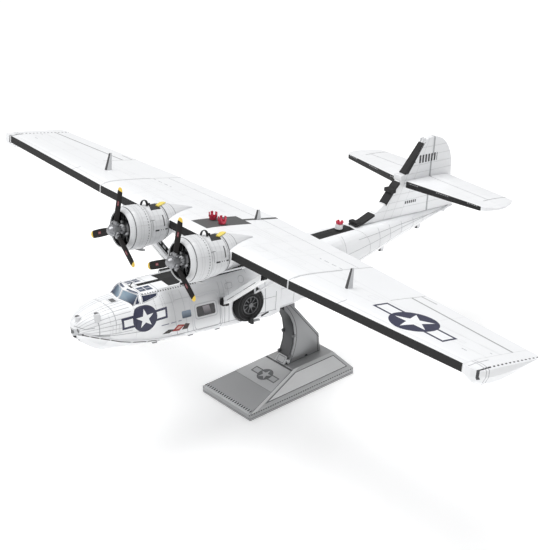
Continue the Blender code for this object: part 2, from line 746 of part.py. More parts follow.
def stand(metal, airframe):
    def ring(half_x, front, back, z):
        return [(-half_x, front, z), (half_x, front, z), (half_x, back, z), (-half_x, back, z)]

    levels = (
        ring(BASE_HALF_X, -BASE_HALF_Y, BASE_HALF_Y, 0.0),
        ring(BASE_HALF_X, -BASE_HALF_Y, BASE_HALF_Y, SKIRT_H),
        ring(PLATEAU_HALF_X, PLATEAU_FRONT, PLATEAU_BACK, PLATEAU_H),
    )
    add_object("stand_base", loft(bmesh.new(), levels), metal)
    column = add_object("stand_column", prism(bmesh.new(), COLUMN_OUTLINE, lambda y: 2 * COLUMN_HALF), metal)
    seat = hull_piece("hull_seat", WAIST_ROWS, metal, airframe, guide=True)
    seat.location.z -= SEAM * MM
    combine(column, seat, "DIFFERENCE")
    inside = bmesh.new()
    add_box(inside, (-8, -10, 12.0), (8, 30, 40))
    trim = add_object("seat_trim", inside, metal, airframe, (0.0, STEP_AT + 5.0, 0.0), guide=True)
    combine(column, trim, "DIFFERENCE")


def main():
    clear_scene()
    paint = material("white_etched_steel", (0.86, 0.87, 0.88), 0.35, 0.2)
    steel = material("bare_steel", (0.45, 0.46, 0.47), 0.3, 1.0)
    dark = material("blade_black", (0.05, 0.045, 0.045), 0.4)
    rubber = material("tyre_black", (0.03, 0.03, 0.032), 0.6)
    glass = material("smoked_glazing", (0.06, 0.08, 0.1), 0.15)
    red = material("beacon_red", (0.7, 0.06, 0.12), 0.35, 0.3)
    plinth = material("plinth_grey", (0.36, 0.37, 0.37), 0.35, 0.9)

    airframe = add_empty("airframe", AIRFRAME_AT, -NOSE_UP)
    hull(airframe, paint)
    wings(airframe, paint)
    pylon(airframe, paint)
    engines(airframe, paint, steel, dark)
    struts(airframe, paint)
    wheels(airframe, rubber, steel, paint)
    tail(airframe, paint)
    blisters(airframe, glass)
    masts(airframe, paint)
    beacons(airframe, paint, red)
    bow_fittings(airframe, paint)
    stand(plinth, airframe)


main()
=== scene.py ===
"""Finishes and fine pieces of the sheet-metal flying boat model.

Lengths are millimetres in the airframe's own frame: x to port, a aft of the bow tip, h above
the keel at the main step. Each finished mesh is carried into the model's frame, in metres.
"""

from math import cos, pi, radians, sin

import bmesh
import bpy
from mathutils import Matrix, Vector


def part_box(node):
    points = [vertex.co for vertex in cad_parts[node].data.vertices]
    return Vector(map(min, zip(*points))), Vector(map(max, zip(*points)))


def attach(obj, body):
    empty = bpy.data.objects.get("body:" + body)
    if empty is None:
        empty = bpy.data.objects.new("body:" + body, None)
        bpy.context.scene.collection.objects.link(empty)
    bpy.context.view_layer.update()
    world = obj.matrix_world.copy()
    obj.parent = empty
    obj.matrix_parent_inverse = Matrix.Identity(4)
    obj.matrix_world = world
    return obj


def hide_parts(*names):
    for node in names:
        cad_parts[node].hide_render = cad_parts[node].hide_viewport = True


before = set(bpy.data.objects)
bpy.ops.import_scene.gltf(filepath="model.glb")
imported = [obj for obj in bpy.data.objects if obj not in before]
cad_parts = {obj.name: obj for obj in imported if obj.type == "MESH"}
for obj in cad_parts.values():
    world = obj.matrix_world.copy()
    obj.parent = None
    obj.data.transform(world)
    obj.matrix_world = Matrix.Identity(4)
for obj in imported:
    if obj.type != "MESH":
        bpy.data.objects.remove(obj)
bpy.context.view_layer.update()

NOSE_UP = radians(8.0)
THRUST = radians(2.7)
RELIEF_DEPTH = 0.00012
MOTTLE = 0.044
BLADE_TURN = radians(6.0)
BOW_TIP = Matrix.Translation((0.0, -0.10244, 0.04908))
STAND = Matrix.Scale(0.001, 4)
AIRFRAME = BOW_TIP @ Matrix.Rotation(-NOSE_UP, 4, "X") @ STAND
ENGINE_X, ENGINE_A, ENGINE_H = 20.6, 33.3, 44.7
WHEEL_A, WHEEL_H = 77.9, 14.6
ROOF_A, ROOF_H = 24.0, 27.3
CHINE_H, FLANK_X = 8.2, 8.0
WING_JOINT_X = 64.0
RUDDER_HINGE_A = 189.5
SIDES = (("left", 1), ("right", -1))

WHITE = (0.90, 0.91, 0.925)
SEAM_GREY = (0.33, 0.34, 0.35)
CHARCOAL = (0.006, 0.006, 0.0065)
NAVY = (0.03, 0.032, 0.07)
LINE_GREY = (0.42, 0.43, 0.45)
FAINT_GREY = (0.5, 0.51, 0.53)
SHADE_GREY = (0.55, 0.56, 0.575)
MATT_BLACK = (0.008, 0.008, 0.009)


def engine_frame(sign):
    """An engine's nose, with local y running aft along its thrust line."""
    place = Matrix.Translation((sign * ENGINE_X, ENGINE_A, ENGINE_H))
    return AIRFRAME @ place @ Matrix.Rotation(-THRUST, 4, "X")


def wheel_frame(sign):
    """The wheel's hub, with local +x pointing outboard."""
    place = Matrix.Translation((0.0, WHEEL_A, WHEEL_H))
    return AIRFRAME @ place @ Matrix.Diagonal((sign, 1.0, 1.0, 1.0))


# Coordinates and layers of a finish


class Wire:
    """A value or colour carried by a material's nodes, which takes part in sums."""

    def __init__(self, finish, socket):
        self.finish = finish
        self.socket = socket

    def __add__(self, other):
        return self.finish.maths("ADD", self, other)

    def __radd__(self, other):
        return self.finish.maths("ADD", other, self)

    def __sub__(self, other):
        return self.finish.maths("SUBTRACT", self, other)

    def __rsub__(self, other):
        return self.finish.maths("SUBTRACT", other, self)

    def __mul__(self, other):
        return self.finish.maths("MULTIPLY", self, other)

    def __rmul__(self, other):
        return self.finish.maths("MULTIPLY", other, self)

    def __truediv__(self, other):
        return self.finish.maths("DIVIDE", self, other)

    def __rtruediv__(self, other):
        return self.finish.maths("DIVIDE", other, self)

    def __neg__(self):
        return self.finish.maths("MULTIPLY", self, -1.0)

    def __abs__(self):
        return self.finish.maths("ABSOLUTE", self)

    def __mod__(self, other):
        return self.finish.maths("FLOORED_MODULO", self, other)

    def __lt__(self, other):
        return self.finish.maths("LESS_THAN", self, other)

    def __gt__(self, other):
        return self.finish.maths("GREATER_THAN", self, other)

    def __and__(self, other):
        return self.finish.maths("MULTIPLY", self, other)

    def __or__(self, other):
        return self.finish.maths("MAXIMUM", self, other)

    def near(self, value, reach):
        """1 within reach of value, else 0."""
        return self.finish.maths("COMPARE", self, value, reach)

    def ramp(self, low, high):
        """0 up to low, 1 from high on, and a smooth rise between."""
        settings = {"interpolation_type": "SMOOTHSTEP"}
        return self.finish.add("ShaderNodeMapRange", settings, (self, low, high, 0.0, 1.0))


class Finish:
    """A material whose colour, roughness, metal and relief are built up in layers."""

    def __init__(self, name, colour, roughness, metallic=0.0, coat=0.0):
        self.material = bpy.data.materials.new(name)
        self.material.use_nodes = True
        self.tree = self.material.node_tree
        self.tree.nodes.clear()
        self.colour = (*colour, 1.0)
        self.roughness = roughness
        self.metallic = metallic
        self.coat = coat
        self.relief = None
        self.specular = 0.5

    def add(self, kind, settings, inputs, output=0):
        """Places a node, sets it, feeds it, and gives one output."""
        node = self.tree.nodes.new(kind)
        for key, value in settings.items():
            setattr(node, key, value)
        pairs = inputs.items() if isinstance(inputs, dict) else enumerate(inputs)
        for key, value in pairs:
            self.feed(node.inputs[key], value)
        return Wire(self, node.outputs[output])

    def feed(self, socket, value):
        if isinstance(value, Wire):
            self.tree.links.new(value.socket, socket)
        else:
            socket.default_value = value

    def maths(self, operation, *values):
        return self.add("ShaderNodeMath", {"operation": operation}, values)

    def spot(self):
        """The object's own coordinates."""
        return self.add("ShaderNodeTexCoord", {}, (), output="Object")

    def axes(self, matrix):
        """Coordinates in millimetres along the axes of a placed frame."""
        back = matrix.inverted()
        turn = back.to_quaternion().to_euler()
        inputs = {"Vector": self.spot(), "Location": back.translation, "Rotation": turn}
        inputs["Scale"] = back.to_scale()
        placed = self.add("ShaderNodeMapping", {}, inputs)
        parts = self.add("ShaderNodeSeparateXYZ", {}, (placed,))
        return [Wire(self, output) for output in parts.socket.node.outputs]

    def noise(self, scale, detail=2.0, stretch=None):
        spot = self.spot()
        if stretch:
            spot = self.add("ShaderNodeMapping", {}, {"Vector": spot, "Scale": stretch})
        inputs = {"Vector": spot, "Scale": scale, "Detail": detail}
        return self.add("ShaderNodeTexNoise", {}, inputs)

    def blend(self, share, low, high):
        """A mix of two colours. A Mix node's sockets go by number, because their names repeat."""
        low = (*low, 1.0) if isinstance(low, tuple) and len(low) == 3 else low
        high = (*high, 1.0) if isinstance(high, tuple) and len(high) == 3 else high
        return self.add("ShaderNodeMix", {"data_type": "RGBA"}, {0: share, 6: low, 7: high}, output=2)

    def paint(self, where, colour, roughness=None, metallic=None):
        """Lays a colour, and its sheen, over what is there."""
        self.colour = self.blend(where, self.colour, colour)
        if roughness is not None:
            self.roughness = self.shift(where, self.roughness, roughness)
        if metallic is not None:
            self.metallic = self.shift(where, self.metallic, metallic)

    def shift(self, share, low, high):
        return self.add("ShaderNodeMix", {"data_type": "FLOAT"}, {0: share, 2: low, 3: high})

    def raise_by(self, height):
        """Adds to the relief that the light sees."""
        self.relief = height if self.relief is None else self.relief + height

    def done(self):
        """Joins the layers to the shader, and gives the material."""
        shader = self.tree.nodes.new("ShaderNodeBsdfPrincipled")
        self.feed(shader.inputs["Base Color"], self.colour)
        self.feed(shader.inputs["Roughness"], self.roughness)
        self.feed(shader.inputs["Metallic"], self.metallic)
        shader.inputs["Coat Weight"].default_value = self.coat
        shader.inputs["Specular IOR Level"].default_value = self.specular
        shader.inputs["Coat Roughness"].default_value = 0.15
        if self.relief is not None:
            bump = self.add("ShaderNodeBump", {}, {"Height": self.relief, "Distance": RELIEF_DEPTH})
            self.feed(shader.inputs["Normal"], bump)
        output = self.tree.nodes.new("ShaderNodeOutputMaterial")
        self.tree.links.new(shader.outputs[0], output.inputs[0])
        return self.material


def joined(masks):
    """1 wherever one of the masks is."""
    total = masks[0]
    for mask in masks[1:]:
        total = total | mask
    return total


def distance(du, dv):
    """Length of the way across and up."""
    return du.finish.maths("SQRT", du * du + dv * dv)


def patch(u, v, u0, u1, v0, v1):
    """1 inside a rectangle."""
    return u.near((u0 + u1) / 2, abs(u1 - u0) / 2) & v.near((v0 + v1) / 2, abs(v1 - v0) / 2)


def across(u, v, at, v0, v1, half=0.14):
    """A thin line where u is at, from v0 to v1."""
    return u.near(at, half) & v.near((v0 + v1) / 2, (v1 - v0) / 2)


def rounded(u, v, cu, cv, half_u, half_v, corner):
    """Distance out of a rectangle's core, for plates and frames with round corners."""
    finish = u.finish
    du = finish.maths("MAXIMUM", abs(u - cu) - (half_u - corner), 0.0)
    dv = finish.maths("MAXIMUM", abs(v - cv) - (half_v - corner), 0.0)
    return distance(du, dv) - corner


def inset(u, v, corners):
    """How far a point lies inside a convex outline, whose corners run clockwise."""
    depth = None
    for (u0, v0), (u1, v1) in zip(corners, corners[1:] + corners[:1]):
        run, rise = u1 - u0, v1 - v0
        length = (run * run + rise * rise) ** 0.5
        edge = (u - u0) * (rise / length) - (v - v0) * (run / length)
        depth = edge if depth is None else u.finish.maths("MINIMUM", depth, edge)
    return depth


def five_star(du, dv, radius, turn=0.0):
    """1 inside a five-pointed star: a point of it lies inside at least four of its five edges."""
    inner = radius * cos(radians(72.0))
    inside = None
    for k in range(5):
        t = turn + radians(90.0 + 72.0 * k)
        edge = du * cos(t) + dv * sin(t) < inner
        inside = edge if inside is None else inside + edge
    return inside > 3.5


def ring_star(finish, du, dv, disc, star, bar, half, rim, where, turn=0.0):
    """The traditional star in a disc with side bars, laid on where a mask allows it."""
    far = distance(du, dv)
    dark = (far < disc) | (abs(du) < bar) & (abs(dv) < half)
    light = (abs(du) < bar - rim) & (abs(dv) < half - rim) & (far > disc)
    finish.paint(dark & where, NAVY, 0.45)
    finish.paint((light | five_star(du, dv, star, turn)) & where, WHITE, 0.4)


def enamel(name, white=WHITE):
    """White paint on thin steel: a little uneven in tone, and softly rippled."""
    finish = Finish(name, white, 0.36, 0.0, coat=0.06)
    cloud = finish.noise(60.0, 3.0)
    dimmed = tuple(c * (1.0 - MOTTLE) for c in white)
    finish.colour = finish.blend(cloud, dimmed, white)
    finish.roughness = finish.noise(220.0) * 0.16 + 0.26
    finish.raise_by(cloud * 0.25)
    return finish


def scribe(finish, lines, colour=SEAM_GREY, depth=0.6):
    """Etched lines: tinted, rougher and sunk."""
    finish.paint(lines, colour, 0.6)
    finish.raise_by(lines * -depth)


def cover(finish, *nodes):
    """Gives CAD nodes a finish in place of their flat one."""
    material = finish.done()
    for node in nodes:
        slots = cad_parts[node].data.materials
        slots.clear()
        slots.append(material)


# Making a piece


def piece(name, bm, material, body="airframe", place=AIRFRAME, smooth=32.0, stands_for=()):
    """Makes a named object of a bmesh, which rides on a body and may stand for CAD nodes."""
    bmesh.ops.remove_doubles(bm, verts=bm.verts, dist=1e-5)
    bm.transform(place)
    bmesh.ops.recalc_face_normals(bm, faces=bm.faces)
    mesh = bpy.data.meshes.new(name)
    bm.to_mesh(mesh)
    bm.free()
    mesh.materials.append(material)
    mesh.shade_smooth()
    mesh.set_sharp_from_angle(angle=radians(smooth))
    obj = bpy.data.objects.new(name, mesh)
    bpy.context.scene.collection.objects.link(obj)
    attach(obj, body)
    if stands_for:
        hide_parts(*stands_for)


def ease(bm, edges, reach):
    """Rounds edges off, and gives the vertices this makes."""
    return bmesh.ops.bevel(
        bm, geom=edges, offset=reach, segments=2, profile=0.5, affect="EDGES", material=-1
    )["verts"]


def turn_about(bm, verts, angle, axis):
    """Turns vertices about an axis through the origin."""
    bmesh.ops.rotate(bm, cent=(0.0, 0.0, 0.0), matrix=Matrix.Rotation(angle, 3, axis), verts=verts)


def block(bm, low, high, bevel):
    """A box between two corners, its edges eased."""
    low, high = Vector(low), Vector(high)
    made = bmesh.ops.create_cube(bm, size=1.0)["verts"]
    bmesh.ops.scale(bm, vec=high - low, verts=made)
    bmesh.ops.translate(bm, vec=(low + high) / 2, verts=made)
    grown = ease(bm, list({edge for vert in made for edge in vert.link_edges}), bevel)
    return list(set(v for v in made if v.is_valid) | set(grown))


def rod(bm, start, end, radius, end_radius=None, segments=16):
    """A round bar between two points."""
    start, end = Vector(start), Vector(end)
    along = end - start
    turn = along.to_track_quat("Z", "Y").to_matrix().to_4x4()
    return bmesh.ops.create_cone(
        bm,
        cap_ends=True,
        segments=segments,
        radius1=radius,
        radius2=radius if end_radius is None else end_radius,
        depth=along.length,
        matrix=Matrix.Translation((start + end) / 2) @ turn,
    )["verts"]


def turned(bm, profile, segments=48):
    """Spins an open or closed (along, radius) outline round the Y axis."""
    before = set(bm.verts)
    verts = [bm.verts.new((radius, along, 0.0)) for along, radius in profile]
    edges = [bm.edges.new(pair) for pair in zip(verts, verts[1:])]
    if profile[0][1] > 1e-6 and profile[-1][1] > 1e-6:
        edges.append(bm.edges.new((verts[-1], verts[0])))
    bmesh.ops.spin(
        bm,
        geom=verts + edges,
        cent=(0.0, 0.0, 0.0),
        axis=(0.0, 1.0, 0.0),
        angle=2 * pi,
        steps=segments,
        use_merge=True,
    )
    made = [v for v in bm.verts if v not in before]
    bmesh.ops.remove_doubles(bm, verts=made, dist=1e-4)


def plate(bm, outline, normal, thickness):
    """A flat sheet: its outline in space, pushed out along a normal."""
    face = bm.faces.new([bm.verts.new(point) for point in outline])
    grown = bmesh.ops.extrude_face_region(bm, geom=[face])
    verts = [item for item in grown["geom"] if isinstance(item, bmesh.types.BMVert)]
    bmesh.ops.translate(bm, vec=Vector(normal) * thickness, verts=verts)


# Hull finishes


def fan(finish, side, a, h):
    """The planks of the bow, which spread from the stem as they run aft."""
    spread = finish.maths("ARCTAN2", h - 13.4, side + 0.2)
    lines = joined([spread.near(at, 0.011) for at in (0.14, 0.3, 0.45, 0.6, 0.75, 0.9, 1.05, 1.2, 1.34)])
    return lines & (a > 0.9) & (h > 14.0)


def on_roof(a, h):
    """1 on top of the cockpit and the deck behind it."""
    return (h > ROOF_H) & (a > ROOF_A)


def leaning(a, h):
    """Distance aft measured along frames that lean forward as they rise."""
    return a + (h - 14.0) * 0.2


def hull_seams(finish, x, a, h):
    """Frames, stringers, hoops round the cabin window, small rings, and painted shade under the wing and low
    on the bow.
    """
    side = abs(x)
    lean = leaning(a, h)
    flank = (h < 26.6) & (h > CHINE_H) & (side > 6.0)
    seams = [lean.near(at, 0.13) & flank for at in (41.6, 46.7)]
    seams += [(a + h * 0.07).near(at, 0.13) & flank for at in (64.9, 67.0, 69.2, 88.4)]
    seams += [a.near(93.2, 0.14) & flank & (h < 17.0), a.near(14.3, 0.14) & (h > 18.0)]
    seams += [lean.near(at, 0.1) & flank & ((h % 0.7) < 0.4) & (h > 17.5) for at in (33.8, 37.0, 38.2)]
    seams += [across(h, a, 23.6, 41.0, 52.0, 0.1), across(h, a, 14.8, 86.0, 93.0, 0.1)]
    seams += [across(h, a, 8.6, 34.0, 94.0, 0.12), (h + a * 0.035).near(14.55, 0.13) & (a < 25.0)]
    seams += [a.near(at, 0.12) & on_roof(a, h) for at in (27.4, 35.4, 78.0)]
    hoops = []
    for half_a, half_h, corner in ((7.4, 8.2, 2.4), (6.5, 7.3, 2.2)):
        hoops.append(rounded(lean, h, 56.9, 15.6, half_a, half_h, corner).near(0.0, 0.12) & (side > FLANK_X))
    rings = [distance(a - 74.9, h - 25.5).near(1.4, 0.12)]
    rings.append(rounded(a, h, 68.2, 24.2, 1.7, 1.1, 0.6).near(0.0, 0.1))
    # Painted shade on the flank under the wing, where the wing's shadow falls.
    shade = (1.0 - a.ramp(60.0, 72.0)) * h.ramp(8.0, 15.0)
    shade = shade | (1.0 - a.ramp(76.0, 84.0)) * h.ramp(18.0, 23.0)
    finish.paint(shade * a.ramp(32.0, 40.0) * (side > 7.0) * 0.9, (0.5, 0.505, 0.515))
    scribe(finish, joined(seams) & (side > 0.3), LINE_GREY)
    scribe(finish, joined(hoops), FAINT_GREY, 0.5)
    scribe(finish, joined(rings), (0.36, 0.37, 0.385), 0.5)
    scribe(finish, fan(finish, side, a, h) & (a < 21.4), FAINT_GREY, 0.4)
    columns = joined([across(a, h, at, 14.4, 18.6, 0.1) for at in (12.9, 14.2, 15.5, 16.2)])
    scribe(finish, columns, (0.6, 0.61, 0.62), 0.3)
    # Painted shade: the hull's bottom near the bow greys towards the keel.
    underside_shade = (1.0 - (h + a * 0.05).ramp(8.5, 13.5)) & (a < 40.0)
    finish.paint(underside_shade * 0.5, SHADE_GREY)


def hull_deck(finish, x, a, h):
    """Studs along the deck's edge, the shade beside the rails, the dark deck panel and the hatch."""
    side = abs(x)
    roof = on_roof(a, h)
    studs = (a % 1.2 < 0.5) & h.near(27.62, 0.2) & (a > 27.0) & (a < 54.0) & (side > 5.5)
    finish.paint(studs, (0.05, 0.05, 0.052), 0.5)
    # Painted shadow: a black strip in the gap beside each deck rail.
    shade = side.near(5.6, 0.6) & (a > 53.0) & (a < 79.0) & (h > 27.6)
    finish.paint(shade, (0.02, 0.02, 0.02), 0.7)
    panel = (patch(x, a, -6.2, 6.5, 41.3, 96.0) | patch(x, a, -0.7, 1.4, 30.0, 42.0)) & roof
    finish.paint(panel, CHARCOAL, 0.8)
    finish.raise_by(panel * 0.6)
    foredeck = h > 23.0
    hatch = patch(x - (a - 18.3) * 0.1, a, -0.9, 2.2, 17.2, 19.4) & foredeck
    finish.paint(hatch, (0.12, 0.125, 0.13), 0.5)
    frame_line = rounded(x, a, 0.7, 18.3, 2.2, 1.6, 0.5).near(0.0, 0.09) & foredeck
    scribe(finish, frame_line, (0.45, 0.46, 0.48), 0.3)


def hull_roundel(finish, x, a, h):
    """Star, disc and bars on both sides of the bow, level with the ground line."""
    du, dv = a - 27.0, h - 18.75
    tilt = radians(4.0)
    along, up = du * cos(tilt) + dv * sin(tilt), dv * cos(tilt) - du * sin(tilt)
    ring_star(finish, along, up, 5.45, 4.1, 10.3, 2.35, 0.95, (abs(x) > 7.0) & (h > 10.0), tilt)


def bow_leaves(finish, x, a, h):
    """Three pinstripes over three pointed leaves, low on the port side."""
    port = x > FLANK_X
    rise = h + (a - 39.0) * -0.03
    spans = ((34.6, 38.2), (39.2, 41.7), (42.7, 44.3))
    stripes = joined([patch(a, rise, start, end, 14.15, 14.55) for start, end in spans])
    finish.paint(stripes & port, (0.16, 0.165, 0.22), 0.5)
    for colour, outline in (
        ((0.03, 0.025, 0.022), [(35.2, 10.3), (38.0, 11.8), (41.2, 11.3), (38.6, 10.1)]),
        ((0.30, 0.03, 0.03), [(39.8, 10.5), (42.6, 13.0), (46.2, 12.4), (43.4, 10.2)]),
        ((0.62, 0.36, 0.30), [(41.6, 11.1), (42.9, 12.2), (44.6, 12.0), (43.2, 11.0)]),
        ((0.05, 0.03, 0.03), [(44.6, 10.3), (46.2, 12.9), (48.4, 12.3), (47.5, 10.2)]),
    ):
        finish.paint((inset(a, h, outline) > 0.0) & port, colour, 0.5)


def cockpit_panes(finish, x, a, h):
    """Roof lights, brow, windscreen, quarter and side windows of the cockpit."""
    side = abs(x)
    pane_corners = [(across_x, from_a) for across_x in (2.5, 4.4) for from_a in (28.0, 31.2)]
    lights = joined([patch(side, a, u, u + 1.65, v, v + 2.9) for u, v in pane_corners])
    brow = inset(side, a, [(0.8, 25.3), (5.5, 26.9), (6.8, 26.7), (3.4, 25.1), (1.2, 24.6)])
    screen = inset(side, h, [(0.55, 27.8), (7.0, 27.25), (8.25, 23.5), (0.6, 24.4)])
    quarter = inset(side, h, [(7.4, 27.15), (9.4, 24.8), (8.45, 24.3)])
    flank_light = inset(a, h, [(27.1, 27.3), (34.0, 27.25), (33.2, 26.4), (30.0, 25.8), (26.7, 25.2)])
    foot = a - side * 0.279 - 21.25
    ahead = (a < 26.35) & (foot > 0.0)
    corner_post = (a < 27.0) & (a > 24.0)
    glass = (lights & on_roof(a, h)) | (brow > 0.0) & (h > 27.4) & (a < 28.0) | (screen > 0.0) & ahead
    glass = glass | (quarter > 0.0) & corner_post | (flank_light > 0.0) & (side > 7.6)
    rims = screen.near(-0.24, 0.11) & ahead | (flank_light.near(-0.26, 0.1) & (side > 7.6))
    rims = rims | quarter.near(-0.2, 0.08) & corner_post
    finish.paint(rims & (h < 27.9), (0.36, 0.37, 0.4), 0.3)
    # Painted reflection: the glass lightens to blue towards its top, middle and front, as if it mirrored the
    # sky.
    sky = ((side - 4.6) * -0.14 + (h - 25.4) * 0.24 - (a - 25.0) * 0.12).ramp(-0.6, 0.9)
    finish.paint(glass, finish.blend(sky, (0.03, 0.036, 0.07), (0.25, 0.34, 0.42)), 0.12)
    upper = (lights | (brow > 0.0) & (a < 28.0)) & (h > 27.4) & (a < 34.5) & (side > 0.8)
    speckle = finish.blend(finish.noise(420.0), (0.03, 0.035, 0.06), (0.14, 0.17, 0.24))
    finish.paint(upper, speckle, 0.15)
    finish.raise_by(glass * -1.0)
    sill = foot.near(-0.1, 0.17) & (side < 8.2) & (side > 0.4) & (h > 23.4)
    finish.paint(sill, (0.1, 0.1, 0.105), 0.5)


def cabin_windows(finish, x, a, h):
    """The blue porthole and the dark cabin window in its raised surround, on each flank."""
    outer = abs(x) > FLANK_X
    lean = leaning(a, h)
    porthole = rounded(lean, h, 47.15, 16.75, 2.25, 1.6, 0.5)
    cabin = rounded(lean, h, 56.8, 16.45, 4.6, 2.35, 0.8)
    surround = rounded(lean, h, 56.8, 16.5, 5.45, 3.3, 1.3)
    finish.paint(surround.near(0.0, 0.2) & outer, (0.4, 0.41, 0.43), 0.4)
    finish.raise_by((surround < 0.0) * 1.2)
    blue = finish.blend(h.ramp(15.2, 18.0), (0.05, 0.07, 0.1), (0.17, 0.22, 0.28))
    finish.paint((porthole < 0.0) & outer, blue, 0.15)
    finish.paint((cabin < 0.0) & outer, (0.016, 0.015, 0.018), 0.2)
    # Painted reflection: a pale streak across the cabin window, lighter towards its top.
    gleam = (a + h * 0.4 - 63.4).near(0.0, 1.7)
    glow = finish.blend(h.ramp(14.0, 18.6), (0.03, 0.028, 0.033), (0.24, 0.22, 0.24))
    finish.paint((cabin < -0.3) & outer & gleam, glow, 0.2)
    finish.raise_by((finish.maths("MINIMUM", porthole, cabin) < 0.0) & outer * -1.5)


def hull_finish():
    """Foredeck, cockpit and front hull: each part is laid over the ones before it."""
    finish = enamel("hull_enamel")
    place = finish.axes(AIRFRAME)
    for part in (hull_seams, hull_deck, hull_roundel, bow_leaves, cockpit_panes, cabin_windows):
        part(finish, *place)
    return finish


def bow_finish():
    """Bow cap: planks spread back from the stem, a seam rings it, and painted shade lies low on it and on
    the stem.
    """
    finish = enamel("bow_enamel")
    x, a, h = finish.axes(AIRFRAME)
    side = abs(x)
    ring = (a + (h - 14.0) * 0.1).near(8.3, 0.13) & (h < 21.5) & (h > 14.3)
    crease = (h - 17.0 - abs(a - 3.6) * 0.28).near(0.0, 0.12) & (side > 1.4) & (a < 6.4)
    scribe(finish, fan(finish, side, a, h), FAINT_GREY, 0.5)
    scribe(finish, ring | crease, (0.36, 0.37, 0.39), 0.6)
    chine = (h - 14.5 + a * 0.035).near(0.0, 0.26) & (a > 1.2)
    scribe(finish, chine, (0.3, 0.31, 0.32), 0.6)
    # Painted shade: the bow greys towards the keel.
    shade = (1.0 - h.ramp(9.0, 15.0)) * 0.6
    finish.paint(shade, SHADE_GREY)
    # Painted shade: a grey patch down the front of the stem.
    finish.paint((h < 16.6) & (h > 12.8) & (a < 1.9), SHADE_GREY, 0.4)
    slots = patch(a, h, -0.5, 0.75, 14.3, 15.9) & (side < 1.2)
    slots = slots | patch(h, side, 15.2, 16.9, 2.6, 3.1) & (a < 2.2)
    finish.paint(slots, (0.14, 0.145, 0.15), 0.6)
    return finish


def aft_finish():
    """Waist and tail cone: frames, stringers and the dark strip down the roof."""
    finish = enamel("aft_enamel")
    x, a, h = finish.axes(AIRFRAME)
    side = abs(x)
    flank = (h < 32.0) & (h > 10.0)
    stations = (103.0, 112.0, 133.4, 155.5, 163.0, 171.0, 179.0, 186.0, 196.0)
    frames = [a.near(at, 0.12) & flank for at in stations]
    stringers = [(h - 24.6 - (a - 132.0) * 0.12).near(0.0, 0.1) & (a > 133.4)]
    stringers += [(h - 18.8 - (a - 132.0) * 0.2).near(0.0, 0.1) & (a > 133.4)]
    stringers += [(h - 29.6 - (a - 140.0) * 0.04).near(0.0, 0.1) & (a > 142.0)]
    stringers += [h.near(17.4, 0.1) & (a < 132.0)]
    belt = (a - 142.0 - side * side * 0.09).near(0.0, 0.16)
    scribe(finish, joined(frames + stringers), FAINT_GREY)
    scribe(finish, belt, (0.6, 0.61, 0.62), -0.5)
    strip = (side < 3.4) & (h > 29.5) & (a > 98.0) & (a < 143.5)
    finish.paint(strip, CHARCOAL, 0.55)
    finish.raise_by(strip * 0.6)
    return finish


# Wing, tail and engine finishes


def wing_seams(finish, side, a, behind, ahead):
    """Faint seams along and across the skins, and small panels."""
    chordwise = [side.near(at, 0.1) for at in (12.4, 29.0, 45.5, 118.0)]
    chordwise += [across(side, a, 22.5, 85.5, 93.0, 0.12), across(side, a, 40.0, 82.6, 91.0, 0.1)]
    spanwise = [behind.near(at, 0.09) & (side > 30.0) for at in (11.8, 19.0)]
    spanwise += [behind.near(2.7, 0.1) & (side > 66.0), a.near(67.4, 0.09) & (side < WING_JOINT_X)]
    spanwise += [across(a, side, at, 13.0, 28.4, 0.08) for at in (76.2, 78.0, 79.8, 81.6, 83.4)]
    spanwise += [(ahead - side * 0.002).near(18.6, 0.1) & (side < 96.0)]
    spanwise += [across(a, side, 77.8, 118.0, 152.0, 0.1)]
    hatches = []
    for cx, ca, half_x, half_a in ((34.0, 64.5, 3.0, 2.0), (39.5, 78.0, 2.6, 1.6), (52.0, 70.0, 2.2, 1.4),
                                   (74.0, 76.0, 2.4, 1.5), (92.0, 72.0, 2.0, 1.2), (136.0, 73.5, 1.6, 0.8)):
        hatches.append(rounded(side, a, cx, ca, half_x, half_a, 0.5).near(0.0, 0.09))
    lines = joined(chordwise + spanwise + hatches) & (behind > 2.0)
    finish.paint(lines, (0.80, 0.81, 0.825), 0.5)
    finish.raise_by(lines * -0.5)


def wing_marks(finish, side, a, behind, ahead):
    """Darker dashes, the flap's line, and the aileron with its tab."""
    marks = across(a, side, 82.0, 50.0, 63.5, 0.22) & ((side % 4.4) < 2.6)
    marks = marks | across(a, side, 68.7, 140.6, 143.0, 0.2) | across(a, side, 75.6, 147.6, 148.6, 0.2)
    marks = marks | across(side, a, 90.0, 55.5, 60.6, 0.16)
    marks = marks | side.near(WING_JOINT_X + 0.6, 0.14) & (behind > 2.4) & (a < 81.0)
    flap = (ahead - 9.3 + side * 0.03).near(0.0, 0.12) & (side < 63.6)
    scribe(finish, marks | flap, LINE_GREY, 0.5)
    hinge = (a - 87.5 + (side - 96.5) * 0.056).near(0.0, 0.42) & (side > 96.3) & (side < 154.0)
    tab = across(a, side, 92.7, 96.3, 104.6, 0.34)
    edge = across(side, a, 96.3, 76.6, 94.8, 0.2)
    scribe(finish, hinge, (0.38, 0.385, 0.39), 0.8)
    scribe(finish, tab | edge, (0.5, 0.505, 0.51), 0.8)


def wing_walkway(finish, x, a, h):
    """Gritty dark strip down the middle of the wing."""
    walkway = patch(x, a, -5.4, 5.4, 60.0, 83.2) | patch(x, a, -1.0, 1.0, 83.0, 101.2)
    grit = finish.noise(2600.0, 2.0) * 0.4
    finish.paint(walkway & (h > 43.9), finish.blend(grit, (0.085, 0.087, 0.088), (0.13, 0.13, 0.132)), 0.7)
    finish.raise_by((walkway & (h > 43.9)) * (grit + 0.5))


